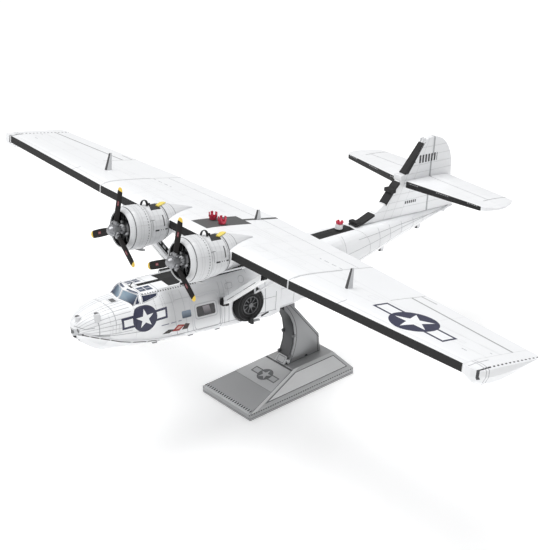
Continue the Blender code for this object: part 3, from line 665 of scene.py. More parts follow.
def wing_finish():
    """Wing skins: seams, walkway, a roundel to port, and black boots on the leading edge."""
    finish = enamel("wing_enamel")
    x, a, h = finish.axes(AIRFRAME)
    side = abs(x)
    outboard = finish.maths("MAXIMUM", side - WING_JOINT_X, 0.0)
    # How far a point lies behind the leading edge, and ahead of the trailing edge
    behind = a - outboard * (5.4 / 86.0) - 54.2
    ahead = 101.6 - side * (9.2 / 150.0) - a
    wing_seams(finish, side, a, behind, ahead)
    wing_marks(finish, side, a, behind, ahead)
    ring = side.near(64.05, 0.35)
    finish.paint(ring, (0.66, 0.67, 0.68), 0.4)
    wing_walkway(finish, x, a, h)
    port_top = (h > 44.8) & (x > 0.0)
    ring_star(finish, side - 115.9, a - 69.8, 9.3, 7.7, 18.1, 3.8, 1.1, port_top, radians(184.0))
    boot = (behind < 0.3) & (side < 149.9) & (1.0 - ring) & ((side > 29.6) | (side < 12.4))
    finish.paint(boot, (0.009, 0.009, 0.0095), 0.75)
    return finish


def float_finish():
    """Tip floats: a stitched seam where the float closes on the wing, and rings round its nose."""
    finish = enamel("float_enamel")
    x, a, h = finish.axes(AIRFRAME)
    side = abs(x)
    edge = side.near(156.2, 0.28) & (x > 0.0) | side.near(150.7, 0.3) & (x < 0.0)
    stitches = edge & (h > 42.5) & (((a % 2.0) < 0.9) | (a < 66.0))
    seams = across(side, a, 152.2, 60.0, 70.0, 0.16) | a.near(63.8, 0.14) | a.near(65.2, 0.14)
    scribe(finish, stitches, (0.06, 0.06, 0.065))
    scribe(finish, seams, LINE_GREY)
    return finish


def tail_finish():
    """Fin, rudder, tailplane and elevators: seams, hinge lines, boots and small barred panels."""
    finish = enamel("tail_enamel")
    x, a, h = finish.axes(AIRFRAME)
    side = abs(x)
    upright = side < 2.4
    fin_lines = [h.near(at, 0.09) & upright for at in (37.4, 40.6, 44.0, 52.6, 56.2, 60.0, 64.0)]
    fin_lines += [(a - h * 0.42).near(at, 0.09) & upright for at in (148.0, 153.0, 158.6)]
    scribe(finish, joined(fin_lines), (0.66, 0.67, 0.68), 0.4)
    hinge = a.near(RUDDER_HINGE_A, 0.5) & (h < 60.0) | a.near(RUDDER_HINGE_A + 1.0, 0.5) & (h > 59.5)
    scribe(finish, hinge & upright, (0.45, 0.46, 0.475), 0.8)
    set_back = (a - 174.0) * 0.787 - (h - 54.5) * 0.618
    taper = 1.0 - (h - 53.0) / 15.0
    strip = (set_back - 0.9) / taper
    finish.paint(strip.near(0.7, 0.7) & upright & (h > 52.8) & (h < 66.6), CHARCOAL, 0.6)
    flat = side > 2.4
    ribs = joined([side.near(at, 0.09) for at in (6.0, 12.5, 19.0, 25.5, 32.0, 38.5, 45.0)])
    ribs = ribs | a.near(183.5, 0.09)
    finish.paint(ribs & flat, (0.84, 0.85, 0.86), 0.5)
    finish.raise_by(ribs * -0.4)
    scribe(finish, a.near(189.0, 0.17) & flat & (side < 38.4), (0.52, 0.53, 0.545), 0.8)
    scribe(finish, side.near(38.3, 0.2) & (a > 186.0), (0.3, 0.305, 0.31), 0.8)
    low_bars = patch(a, h, 175.0, 182.0, 38.7, 40.0) & ((a % 1.25) < 0.85) & upright
    high_bars = patch(a, h, 181.7, 193.2, 56.9, 60.6) & (((a - 181.7) % 1.85) < 1.15) & upright
    finish.paint(low_bars | high_bars, (0.05, 0.05, 0.055), 0.5)
    front = side * (4.6 / 35.0) + 173.5
    boot = flat & ((a - front) < 0.3) & (side > 1.9) & (side < 46.4)
    finish.paint(boot, CHARCOAL, 0.6)
    rows = side.near(6.5, 2.5) | side.near(22.5, 3.5) | side.near(39.0, 3.0)
    finish.paint(boot & rows & h.near(49.2, 0.14) & ((side % 1.2) < 0.6), (0.55, 0.56, 0.57), 0.5)
    return finish


def engine_axes(finish):
    """Sideways, aft and up from the nearer engine's nose, and the distance from its axis."""
    x, y, z = finish.axes(engine_frame(0))
    off = x - finish.maths("SIGN", x) * ENGINE_X
    return off, y, z, distance(off, z)


def nacelle_finish():
    """Cowling and nacelle skins, in each engine's own frame."""
    # Painted shade: the cowlings' white paint is toned grey all over, for their shaded sides.
    finish = enamel("cowling_enamel_painted_shade", (0.75, 0.76, 0.775))
    off, y, z, far = engine_axes(finish)
    spread = finish.maths("ARCTAN2", abs(off), z)
    scribe(finish, y.near(4.4, 0.2), (0.13, 0.135, 0.14), 0.9)
    faint = joined([y.near(at, 0.08) for at in (1.9, 6.8, 8.0, 14.4, 16.6, 23.0, 24.3)])
    scribe(finish, faint, (0.58, 0.59, 0.6), 0.4)
    dotted = y.near(10.4, 0.2) & ((spread * 8.6 % 1.1) < 0.6)
    scribe(finish, dotted, (0.28, 0.29, 0.3), 0.4)
    scribe(finish, y.near(11.7, 0.1) | y.near(19.9, 0.1) | y.near(25.8, 0.17), (0.3, 0.31, 0.32), 0.6)
    scribe(finish, y.near(20.7, 0.26), (0.13, 0.135, 0.14), 0.9)
    petals = (abs(spread * 1.27 % 1.0 - 0.5) < 0.008) & (y < 11.6)
    scribe(finish, petals, (0.62, 0.63, 0.64), 0.3)
    notch = across(z, y, 4.6, 11.8, 14.0, 0.13) | across(y, z, 13.0, 0.6, 4.6, 0.1)
    scribe(finish, notch, (0.3, 0.31, 0.32), 0.5)
    slit = patch(y, z, 18.25, 18.75, 1.8, 5.9) & (abs(off) > 4.0)
    spans = ((13.9, 15.9, 0.1, 0.75), (16.6, 17.0, 0.3, 0.7), (17.7, 18.0, 0.3, 0.7), (18.9, 20.2, 0.2, 0.8))
    dashes = joined([patch(y, z, *span) for span in spans])
    finish.paint(slit | dashes & (abs(off) > 6.0), (0.04, 0.04, 0.042), 0.6)
    recess = (inset(off, y, [(-1.7, 20.1), (3.8, 19.3), (4.0, 14.2), (-0.1, 15.6)]) > 0.0) & (z > 5.0)
    finish.paint(recess, (0.03, 0.03, 0.033), 0.5)
    finish.raise_by(recess * -1.5)
    inside = (far < 8.36) & (y > 3.55) & (y < 12.75) | (far < 7.7) & (y > 2.9) & (y < 5.0)
    finish.paint(inside, MATT_BLACK, 0.8)
    return finish


def clouded(name, roughness, scale, low, high):
    """Plain paint that drifts between two tones."""
    finish = Finish(name, low, roughness)
    finish.colour = finish.blend(finish.noise(scale), low, high)
    return finish.done()


def etched_steel(name, tone, roughness=0.32):
    """Bare or tinted sheet steel with a fine rolled grain."""
    finish = Finish(name, tone, roughness, 0.85)
    grain = finish.noise(900.0, 4.0, stretch=(1.0, 0.06, 1.0))
    cloud = finish.noise(45.0, 2.0)
    darker = tuple(c * 0.8 for c in tone)
    finish.colour = finish.blend(grain * 0.6 + cloud * 0.4, darker, tone)
    finish.roughness = grain * 0.16 + (roughness - 0.08)
    finish.raise_by(grain * 0.15)
    return finish


def blade_finish():
    """Dark blades with yellow tips and a small dull red bar, spotted pale, on each."""
    finish = Finish("blade_paint", (0.012, 0.01, 0.01), 0.6)
    finish.specular = 0.22
    off, y, z, far = engine_axes(finish)
    worn = finish.noise(500.0, 3.0)
    finish.colour = finish.blend(worn, (0.007, 0.006, 0.006), (0.014, 0.012, 0.012))
    finish.roughness = worn * 0.2 + 0.58
    third = 2 * pi / 3
    share = finish.maths("ARCTAN2", off, z) / third - BLADE_TURN / third + 0.5
    aside = (share % 1.0 - 0.5) * third * far
    bar = far.near(11.6, 1.0) & aside.near(0.1, 0.55) & (y < 0.4)
    spots = far.near(11.6, 0.8) & aside.near(0.1, 0.26) & ((far * 1.7 % 1.0) < 0.5) & (y < 0.4)
    finish.paint(bar, (0.16, 0.02, 0.03), 0.5)
    finish.paint(spots, (0.42, 0.26, 0.27), 0.5)
    finish.paint(far > 17.1, (0.85, 0.6, 0.1), 0.4)
    finish.paint(far < 2.6, (0.32, 0.325, 0.335), 0.3, 0.9)
    return finish


def rubber_finish():
    """Dusty black tyres with two raised rings on the sidewall."""
    finish = Finish("tyre_rubber", (0.006, 0.006, 0.0065), 0.7)
    finish.specular = 0.35
    _, y, z = finish.axes(AIRFRAME @ Matrix.Translation((0.0, WHEEL_A, WHEEL_H)))
    far = distance(y, z)
    dusty = finish.noise(260.0, 3.0)
    finish.colour = finish.blend(dusty, (0.005, 0.005, 0.0055), (0.011, 0.011, 0.0115))
    finish.roughness = dusty * 0.2 + 0.66
    rings = far.near(6.5, 0.12) | far.near(5.0, 0.1)
    finish.raise_by(rings * 1.0)
    finish.paint(rings, (0.03, 0.03, 0.031), 0.5)
    return finish


def red_finish():
    """Bright red enamel of the crowns, a little cloudy."""
    finish = Finish("beacon_enamel", (0.62, 0.03, 0.075), 0.3, 0.35, coat=0.4)
    cloud = finish.noise(500.0, 2.0)
    finish.colour = finish.blend(cloud, (0.5, 0.02, 0.06), (0.72, 0.05, 0.1))
    finish.roughness = cloud * 0.15 + 0.22
    return finish


def glazing_finish():
    """Waist windows: near-black panes with a few fine bars."""
    finish = Finish("waist_glazing", (0.02, 0.022, 0.03), 0.12)
    _, a, h = finish.axes(AIRFRAME)
    finish.colour = finish.blend(h.ramp(22.0, 31.0), (0.012, 0.013, 0.018), (0.07, 0.08, 0.1))
    bars = joined([a.near(at, 0.17) for at in (116.4, 121.6, 126.6)] + [h.near(26.2, 0.15)])
    finish.paint(bars, (0.72, 0.73, 0.745), 0.35)
    finish.raise_by(bars * 0.8)
    return finish


MAST_A, MAST_FOOT = 67.6, 46.6
REAR_MAST_A, REAR_MAST_FOOT = 88.6, 44.6


def mast_finish():
    """Light grey sheet with a dark front edge."""
    finish = enamel("mast_enamel", (0.66, 0.67, 0.685))
    _, a, h = finish.axes(AIRFRAME)
    dark = (0.08, 0.08, 0.083)
    finish.paint((a - MAST_A - (h - MAST_FOOT) * 0.256 < 0.55) & (a < 80.0), dark, 0.5)
    finish.paint((a - REAR_MAST_A - (h - REAR_MAST_FOOT) * 0.24 < 0.5) & (a > 80.0), dark, 0.5)
    return finish


def strut_finish():
    """Folded channels, open above: black inside with pale holes, a broken line along the front."""
    finish = enamel("strut_enamel", (0.8, 0.81, 0.825))
    x, a, h = finish.axes(AIRFRAME)
    share = (abs(x) - 14.6) / 32.7
    chord = a - 65.2 + share * 8.6
    rise = h - 19.6 - share * 23.1
    front = (chord < -1.4) & (share > -0.1)
    finish.paint(front & (rise > -0.5), (0.84, 0.85, 0.865), 0.4)
    finish.paint((rise < -0.6) & (chord < 3.0), (0.96, 0.965, 0.97), 0.35)
    whole = share.near(0.2, 0.1) | share.near(0.72, 0.16)
    broken = share.near(0.42, 0.12) & ((share * 60.0 % 1.0) < 0.5)
    finish.paint(front & rise.near(-0.52, 0.16) & (whole | broken), (0.05, 0.05, 0.052), 0.6)
    inside = chord.near(0.0, 1.66) & (rise > -1.2) & (share > 0.01)
    finish.paint(inside, (0.02, 0.02, 0.021), 0.6)
    row = chord.near(0.0, 0.55) | chord.near(1.5, 0.3) & rise.near(0.2, 0.5)
    finish.paint(inside & row & ((share * 13.0 % 1.0) < 0.6), (0.9, 0.905, 0.915), 0.4)
    return finish


def engine_block_finish():
    """Near-black cylinders, finned in rings, round a steel gear case."""
    finish = etched_steel("cylinder_steel", (0.03, 0.03, 0.032), 0.5)
    _, y, _, far = engine_axes(finish)
    finish.paint((far % 0.62) < 0.3, MATT_BLACK, 0.6)
    finish.paint((far < 3.1) & (y < 6.2), (0.3, 0.305, 0.315), 0.35)
    finish.paint(far > 4.6, MATT_BLACK, 0.7)
    return finish


# Half sizes and top of the plinth, and how far its sides' panels are set in
BASE_X, BASE_Y, BASE_TOP, BORDER = 16.8, 29.3, 9.75, 1.7


def plinth_front(finish, x, y, side, front_face):
    """Blank plate ahead of a shallow star in a disc."""
    band = front_face & y.near(-20.6, 6.4)
    finish.paint(band, (0.47, 0.473, 0.478), 0.46)
    rule = y.near(-14.2, 0.1) | side.near(15.7, 0.12) & (y < -14.2)
    scribe(finish, front_face & rule, (0.28, 0.283, 0.288), 0.4)
    du, dv = x - 0.9, (y + 7.9) * -1.0
    far = distance(du, dv)
    disc = (far < 3.7) | ((abs(du) < 8.0) & (abs(dv) < 1.75))
    light = ((abs(du) < 7.4) & (abs(dv) < 1.2) & (far > 3.7)) | five_star(du, -dv, 3.1)
    finish.paint(disc & front_face, (0.2, 0.203, 0.208), 0.45)
    finish.paint(light & front_face, (0.56, 0.565, 0.575), 0.36)


def stand_finish():
    """Plinth: tinted steel, a lighter border on the sides, dotted skirt, blank plate, star above."""
    finish = etched_steel("plinth_steel", (0.7, 0.705, 0.71), 0.42)
    x, y, z = finish.axes(STAND)
    side = abs(x)
    from_front, from_side = (y + BASE_Y) / 30.9, (BASE_X - side) / 8.0
    from_back = (BASE_Y - y) / 4.5
    least = finish.maths("MINIMUM", finish.maths("MINIMUM", from_front, from_side), from_back)
    slope = (z > 3.25) & (z < BASE_TOP)
    front_face = slope & ((from_front - least) < 0.0005)
    side_face = slope & ((from_side - least) < 0.0005) & (1.0 - front_face)
    back_face = slope & (1.0 - front_face) & (1.0 - side_face)
    finish.paint(side_face | back_face, (0.82, 0.825, 0.83), 0.34)
    finish.paint(z > BASE_TOP, (0.57, 0.574, 0.578), 0.42)
    climb = (z - 3.2) / 6.6
    gap = from_front - from_side
    depth = inset(y, climb * 10.4, [(-BASE_Y, 0.0), (1.6, 10.4), (24.8, 10.4), (BASE_Y, 0.0)])
    panel_tone = finish.blend(y.ramp(6.0, 24.0), (0.98, 0.985, 0.99), (0.84, 0.845, 0.85))
    finish.paint(side_face & (depth > BORDER), panel_tone, 0.34)
    finish.paint(side_face & (depth < BORDER) & (gap > 0.12), (0.62, 0.625, 0.63), 0.36)
    rims = side_face & depth.near(BORDER, 0.17) | gap.near(0.0, 0.012) & slope
    rims = rims | front_face & climb.near(0.97, 0.015)
    scribe(finish, rims, (0.16, 0.163, 0.167), 0.5)
    ridge = side_face & (depth < BORDER - 0.17) & (gap < 0.12) & (gap > 0.015)
    finish.paint(ridge, (0.95, 0.955, 0.96), 0.3)
    finish.paint(z < 3.1, (0.4, 0.403, 0.408), 0.4)
    ticks = z.near(2.75, 0.3) & (((x + y) % 1.3) < 0.75) & (z < 3.15) & (side > 16.0)
    ticks = ticks | front_face & climb.near(0.08, 0.045) & ((x % 1.5) < 0.8)
    scribe(finish, ticks, (0.1, 0.1, 0.105), 0.6)
    scribe(finish, z.near(1.0, 0.12), (0.16, 0.163, 0.168), 0.4)
    plinth_front(finish, x, y, side, front_face)
    return finish


def column_finish():
    """Stand column: tinted steel, darker up its curved front, with an etched border on each flank."""
    finish = etched_steel("column_steel", (0.3, 0.305, 0.31), 0.4)
    x, y, z = finish.axes(STAND)
    grain = finish.noise(700.0, 3.0) * 0.06
    flank = finish.blend(z.ramp(10.0, 20.0), (0.28, 0.284, 0.289), (0.3, 0.305, 0.31))
    flank = finish.blend(z.ramp(22.0, 38.0), flank, (0.17, 0.173, 0.178))
    finish.paint(1.0 - grain, flank, 0.4)
    front = y - 7.1 + (z - 24.0) * (z - 24.0) * 0.024
    slope = (y - 20.9) * 0.811 + (z - 18.7) * 0.585
    border = front.near(1.3, 0.14) | slope.near(-1.1, 0.16) | across(y, z, 19.9, 10.0, 19.4, 0.15)
    border = border & (front > 1.1) & (slope < -0.9)
    scribe(finish, border & (abs(x) > 3.9), (0.07, 0.07, 0.073), 0.5)
    face = (front < 0.35) & (abs(x) < 3.95)
    finish.paint(face, finish.blend(z.ramp(14.0, 34.0), (0.13, 0.132, 0.136), (0.03, 0.032, 0.033)), 0.5)
    scribe(finish, abs(abs(x) - 3.2).near(0.0, 0.12) & face, (0.03, 0.03, 0.032), 0.5)
    finish.paint(patch(y, z, 12.4, 13.8, 10.2, 10.9) & (abs(x) > 3.9), (0.01, 0.01, 0.01), 0.6)
    return finish


def dress_nodes():
    """Gives every node of the CAD its finish."""
    cover(hull_finish(), "foredeck", "hull_front", "canopy")
    cover(bow_finish(), "bow_cap")
    cover(aft_finish(), "hull_waist", "hull_tail")
    cover(wing_finish(), "wing_centre", "wing_left", "wing_right")
    cover(float_finish(), "tip_float_left", "tip_float_right")
    cover(tail_finish(), "fin", "rudder", "tailplane_left", "tailplane_right", "elevator_left",
          "elevator_right")
    cover(nacelle_finish(), "nacelle_left", "nacelle_right", "cowling_left", "cowling_right")
    cover(enamel("fitting_enamel"), "pylon", "strut_front_left", "strut_front_right", "strut_rear_left",
          "strut_rear_right", "beacon_post", "mast_left", "mast_right", "mast_centre", "bow_post",
          "bow_cleat")
    cover(blade_finish(), "propeller_left", "propeller_right")
    cover(rubber_finish(), "tyre_left", "tyre_right")
    wheel_steel = etched_steel("wheel_steel", (0.16, 0.162, 0.166))
    cover(wheel_steel, "wheel_rim_left", "wheel_rim_right", "axle_left", "axle_right", "engine_left",
          "engine_right")
    cover(red_finish(), "beacon_crown", "wing_beacon_left", "wing_beacon_right")
    cover(glazing_finish(), "blister_left", "blister_right")
    cover(stand_finish(), "stand_base")
    cover(column_finish(), "stand_column")


# Fine pieces


def sweep(bm, section, path, sizes=None):
    """Draws a closed section along a path: each step pushes the end face out, then on."""
    face = bm.faces.new([bm.verts.new(Vector(path[0]) + Vector(point)) for point in section])
    sizes = sizes or [1.0] * len(path)
    steps = zip(path, path[1:], sizes, sizes[1:])
    for start, end, size, next_size in steps:
        grown = bmesh.ops.extrude_face_region(bm, geom=[face])["geom"]
        verts = [item for item in grown if isinstance(item, bmesh.types.BMVert)]
        face = [item for item in grown if isinstance(item, bmesh.types.BMFace)][0]
        bmesh.ops.translate(bm, vec=Vector(end) - Vector(start), verts=verts)
        if next_size != size:
            ratio = next_size / size
            space = Matrix.Translation(-Vector(end))
            bmesh.ops.scale(bm, vec=(ratio, ratio, ratio), space=space, verts=verts)


def blocks(name, boxes, material, sign=1, place=AIRFRAME):
    """A piece made of eased boxes: two corners and a bevel each."""
    bm = bmesh.new()
    for low, high, bevel in boxes:
        block(bm, low, high, bevel)
    piece(name, reflected(bm, sign), material, place=place)


def swept(name, section, path, material, sign=1, sizes=None, place=AIRFRAME, stands_for=()):
    """A piece drawn by one section along one path."""
    bm = bmesh.new()
    sweep(bm, section, path, sizes)
    piece(name, reflected(bm, sign), material, place=place, stands_for=stands_for)


def reflected(bm, sign):
    """Carries port-side work to the chosen side."""
    if sign < 0:
        bmesh.ops.scale(bm, vec=(-1.0, 1.0, 1.0), verts=bm.verts)
    return bm


FRONT_STRUT = ((14.6, 65.2, 19.6), (47.3, 56.6, 42.7))
REAR_STRUT = ((12.4, 80.9, 24.1), (15.9, 78.5, 20.5), (48.0, 69.0, 42.4))
STRUT_FEET = (
    ((12.6, 62.9, 17.4), (14.9, 64.4, 20.4), 0.2), ((11.6, 64.4, 17.2), (15.0, 66.0, 18.6), 0.2),
    ((45.0, 55.8, 41.4), (47.2, 58.4, 42.8), 0.3), ((46.6, 67.6, 41.4), (49.0, 70.4, 43.0), 0.3),
)


def channel(half_chord, depth, wall):
    """Section of a folded channel, open above."""
    low, high = -depth / 2, depth / 2
    return (
        (0.0, -half_chord, high), (0.0, -half_chord, low), (0.0, half_chord, low), (0.0, half_chord, high),
        (0.0, half_chord - wall, high), (0.0, half_chord - wall, low + wall),
        (0.0, wall - half_chord, low + wall), (0.0, wall - half_chord, high),
    )


def struts():
    """Front and rear wing struts, with the dark feet that hold them."""
    paint = strut_finish().done()
    # Painted light: the rear struts get a whiter paint than the others, so that they stay white in shade.
    bright = enamel("rear_strut_painted_light", (0.95, 0.955, 0.965)).done()
    dark = etched_steel("strut_root_steel", (0.03, 0.03, 0.031), 0.6).done()
    for side, sign in SIDES:
        swept(f"front_strut_channel_{side}", channel(2.0, 3.1, 0.35), FRONT_STRUT, paint,
              sign, stands_for=(f"strut_front_{side}",))
        swept(f"rear_strut_channel_{side}", channel(0.5, 0.6, 0.15), REAR_STRUT, bright,
              sign, (1.0, 1.0, 2.7), stands_for=(f"strut_rear_{side}",))
        blocks(f"strut_feet_{side}", STRUT_FEET, dark, sign)


def wheels():
    """Spoked rims in wells, a dark disc of painted shade behind the spokes, sidewall beads, and the skid
    block outboard of each tyre.
    """
    rim = etched_steel("rim_steel", (0.2, 0.203, 0.208), 0.4).done()
    shadow = clouded("wheel_recess", 0.7, 300.0, MATT_BLACK, (0.022, 0.022, 0.023))
    pale = enamel("skid_bracket_enamel", (0.7, 0.71, 0.72)).done()
    for side, sign in SIDES:
        body = f"wheel_{side}"
        turn = Matrix.Rotation(-pi / 2, 4, "Z")
        bm = bmesh.new()
        turned(bm, ((10.9, 0.86), (10.9, 3.9), (14.45, 3.9), (14.55, 3.8), (14.45, 3.55), (13.6, 3.45),
                    (13.5, 1.3), (14.25, 1.15), (14.3, 0.86)), 48)
        bmesh.ops.transform(bm, matrix=turn, verts=bm.verts)
        for k in range(9):
            made = block(bm, (13.5, -0.17, 0.95), (14.2, 0.17, 3.7), 0.06)
            turn_about(bm, made, 2 * pi * k / 9, "X")
        piece(f"spoked_rim_{side}", bm, rim, body, wheel_frame(sign),
              stands_for=(f"wheel_rim_{side}",))
        # Painted shade: a dark disc behind the spokes stands for the shaded well of the wheel; the skid
        # blocks share its black.
        bm = bmesh.new()
        turned(bm, ((13.52, 1.3), (13.66, 1.3), (13.66, 3.5), (13.52, 3.5)), 40)
        bmesh.ops.transform(bm, matrix=turn, verts=bm.verts)
        piece(f"rim_shadow_{side}", bm, shadow, body, wheel_frame(sign))
        skid = (((14.95, 77.1, 7.2), (15.75, 78.8, 9.8), 0.2), ((13.0, 78.0, 6.3), (15.6, 79.2, 7.4), 0.2))
        blocks(f"skid_block_{side}", skid, shadow, sign)
        bracket = (((11.8, 79.4, 5.9), (13.6, 84.4, 6.5), 0.2),)
        blocks(f"skid_bracket_{side}", bracket, pale, sign)


CYLINDERS = 9


def around(far, y, turn):
    """A point at a distance from an engine's axis."""
    return (far * sin(turn), y, far * cos(turn))


def radial_engines():
    """Nine finned cylinders round a geared nose, with push rods, in a black cowl."""
    metal = engine_block_finish().done()
    bright = etched_steel("push_rod_steel", (0.22, 0.225, 0.23), 0.3).done()
    inside = clouded("cowl_inside", 0.75, 400.0, MATT_BLACK, (0.03, 0.03, 0.031))
    for side, sign in SIDES:
        place = engine_frame(sign)
        bm = bmesh.new()
        turned(bm, ((1.8, 0.0), (1.8, 1.5), (2.6, 2.1), (4.0, 2.4), (4.6, 3.1), (9.4, 3.1), (12.6, 5.4),
                    (12.6, 0.0)), 36)
        for k in range(CYLINDERS):
            barrel = []
            for step in range(6):
                low = 2.7 + step * 0.72
                barrel += rod(bm, (0.0, 7.4, low), (0.0, 7.4, low + 0.46), 1.36, segments=14)
                barrel += rod(bm, (0.0, 7.4, low + 0.46), (0.0, 7.4, low + 0.72), 1.02, segments=14)
            barrel += block(bm, (-0.8, 6.3, 6.6), (0.8, 8.5, 7.35), 0.2)
            turn_about(bm, barrel, 2 * pi * k / CYLINDERS, "Y")
        piece(f"cylinders_{side}", bm, metal, place=place, stands_for=(f"engine_{side}",))
        bm = bmesh.new()
        for k in range(CYLINDERS):
            for lean in (-0.11, 0.11):
                t = 2 * pi * k / CYLINDERS + lean
                rod(bm, around(2.6, 5.0, t), around(6.9, 5.9, t), 0.16, segments=8)
        for k in range(6):
            t = 2 * pi * (k + 0.5) / 6
            rod(bm, around(1.75, 1.9, t), around(1.75, 2.7, t), 0.24, segments=10)
        block(bm, (-1.0, 3.0, 2.3), (1.0, 4.9, 3.6), 0.25)
        piece(f"push_rods_{side}", bm, bright, place=place)
        bm = bmesh.new()
        turned(bm, ((3.4, 7.75), (3.4, 8.05), (11.6, 8.1), (11.6, 0.5), (11.2, 0.5), (11.2, 7.75)), 48)
        piece(f"cowl_lining_{side}", bm, inside, place=place)


def propeller_hubs():
    """Steel dome, blade roots in collars, and the small weights beside them."""
    steel = etched_steel("hub_steel", (0.38, 0.385, 0.4), 0.45).done()
    for side, sign in SIDES:
        bm = bmesh.new()
        turned(bm, ((-3.5, 0.0), (-3.5, 1.0), (-3.35, 1.35), (-2.6, 1.7), (-1.9, 1.9), (-1.8, 2.55),
                    (0.95, 2.6), (1.05, 1.4), (1.05, 0.0)), 36)
        for k in range(3):
            made = rod(bm, (0.0, -0.2, 1.2), (0.0, -0.2, 3.5), 1.05, segments=20)
            made += rod(bm, (0.0, -0.2, 3.5), (0.0, -0.2, 4.0), 1.22, 1.0, segments=20)
            made += block(bm, (-1.75, -1.35, 2.35), (-0.85, 0.2, 3.3), 0.12)
            made += block(bm, (0.85, -0.6, 2.35), (1.7, 0.9, 3.3), 0.12)
            turn_about(bm, made, BLADE_TURN + 2 * pi * k / 3, "Y")
        piece(f"hub_{side}", bm, steel, f"propeller_{side}", engine_frame(sign))


def nacelle_fittings():
    """Upright on the black recess, yellow leaf, folded loop and the flap under each cowling."""
    black = etched_steel("scoop_black", (0.03, 0.03, 0.032), 0.5).done()
    yellow = clouded("leaf_yellow", 0.4, 400.0, (0.78, 0.6, 0.08), (0.95, 0.8, 0.2))
    grey = etched_steel("flap_steel", (0.6, 0.605, 0.61), 0.4).done()
    for side, sign in SIDES:
        place = engine_frame(sign)
        upright = (((-0.5, 15.8, 8.0), (0.4, 16.2, 9.5), 0.1),)
        blocks(f"scoop_{side}", upright, black, place=place)
        bm = bmesh.new()
        outline = ((1.7, 18.0, 8.5), (2.9, 18.8, 8.4), (0.4, 23.2, 8.3), (-0.8, 24.9, 8.2),
                   (-1.9, 24.2, 8.2), (-1.3, 22.1, 8.4))
        plate(bm, outline, (0.0, 0.0, 1.0), 0.4)
        piece(f"yellow_leaf_{side}", bm, yellow, place=place)
        turns = [pi * k / 14 for k in range(15)]
        bow = [(-1.0 * cos(t), 13.6 - 0.8 * cos(t), 8.8 + 2.2 * sin(t)) for t in turns]
        strap = ((0.35, -0.42, 0.0), (-0.07, 0.5, 0.0), (-0.63, 0.28, 0.0), (-0.2, -0.62, 0.0))
        swept(f"lifting_loop_{side}", strap, bow, black, place=place)
        bm = bmesh.new()
        outline = ((-2.6, 8.6, -8.9), (2.6, 8.6, -8.9), (3.0, 12.0, -10.0), (2.2, 14.2, -10.3),
                   (-2.2, 14.2, -10.3), (-3.0, 12.0, -10.0))
        plate(bm, outline, (0.0, 0.0, 1.0), 0.5)
        piece(f"cooling_flap_{side}", bm, grey, place=place)


CHINE = ((3.0, 14.8, 4.4), (6.5, 14.0, 6.8), (12.0, 12.6, 9.2), (16.6, 11.2, 10.2), (21.8, 10.1, 10.9),
         (27.4, 9.3, 11.5), (34.0, 8.6, 11.8), (46.0, 8.0, 12.0))


def slot_strip_finish():
    """Pale strip with dark slots."""
    finish = Finish("slot_strip", (0.5, 0.51, 0.52), 0.5)
    _, a, _ = finish.axes(AIRFRAME)
    spans = ((2.6, 4.6), (5.4, 8.0), (8.7, 11.9), (12.5, 20.6), (21.8, 27.5), (28.4, 32.4))
    slots = joined([a.near((start + end) / 2, (end - start) / 2) for start, end in spans])
    finish.paint(slots, finish.blend(finish.noise(300.0), (0.03, 0.03, 0.032), (0.16, 0.16, 0.165)), 0.55)
    return finish


def chine_strips(rail):
    """Chine rails over slotted strips."""
    strip = slot_strip_finish().done()
    rail_section = ((0.0, 0.0, -0.1), (0.6, 0.0, -0.05), (0.6, 0.0, 0.26), (0.0, 0.0, 0.4))
    rail_path = [(w - 0.15, a, z - 0.05) for a, z, w in CHINE]
    strip_section = ((0.0, 0.0, -0.34), (0.56, 0.0, -0.3), (0.56, 0.0, 0.26), (0.0, 0.0, 0.3))
    strip_path = [(w - 0.3, a, z - 0.3) for a, z, w in ((1.9, 14.4, 2.2),) + CHINE[:-1]]
    for side, sign in SIDES:
        swept(f"chine_rail_{side}", rail_section, rail_path, rail, sign)
        swept(f"slot_strip_{side}", strip_section, strip_path, strip, sign)


def stem_shoe(rail):
    """Shoe folded down the stem, dark and light by turns."""
    dark = etched_steel("shoe_black", (0.05, 0.05, 0.052), 0.5).done()
    folds = (((-0.9, 1.3, 12.3), (0.9, 2.3, 13.3), 0.2), ((-0.6, 3.3, 10.6), (0.6, 4.3, 11.8), 0.2))
    blocks("stem_shoe_dark", folds, dark)
    folds = (((-0.8, 2.3, 11.5), (0.8, 3.3, 12.6), 0.2), ((-0.7, 4.3, 9.6), (0.7, 5.5, 11.0), 0.25))
    blocks("stem_shoe_light", folds, rail)


def bow_folds():
    """The two folded fittings on top of the bow."""
    for name, node, x, a, foot, height in (("bow_post_fold", "bow_post", 1.0, 2.5, 18.9, 3.1),
                                           ("bow_cleat_fold", "bow_cleat", 6.3, 7.8, 20.6, 3.4)):
        finish = enamel(name + "_enamel", (0.72, 0.73, 0.745))
        fx, _, fh = finish.axes(AIRFRAME)
        mark = (fx < x - 0.7) | patch(fx, fh, x - 1.2, x + 0.1, foot + height - 0.9, foot + height - 0.4)
        finish.paint(mark, (0.1, 0.1, 0.105), 0.5)
        bm = bmesh.new()
        outline = ((x - 1.1, a - 0.9, foot - 0.6), (x + 1.1, a - 0.9, foot - 0.9),
                   (x + 1.1, a + 0.9, foot - 0.9), (x + 0.2, a + 0.9, foot - 0.6),
                   (x - 1.1, a + 0.5, foot - 0.6))
        plate(bm, outline, (0.0, 0.0, 1.0), height)
        edges = [edge for edge in bm.edges if abs(edge.verts[0].co.z - edge.verts[1].co.z) > 1.0]
        ease(bm, edges, 0.25)
        block(bm, (x - 0.5, a - 1.15, foot - 0.4), (x + 0.6, a - 0.7, foot + height - 1.0), 0.12)
        piece(name, bm, finish.done(), stands_for=(node,))


def bow_pieces():
    """Rails and strips, shoe and fittings of the bow."""
    rail = enamel("rail_enamel", (0.84, 0.85, 0.865)).done()
    chine_strips(rail)
    stem_shoe(rail)
    bow_folds()


CROWN_TABS = 5


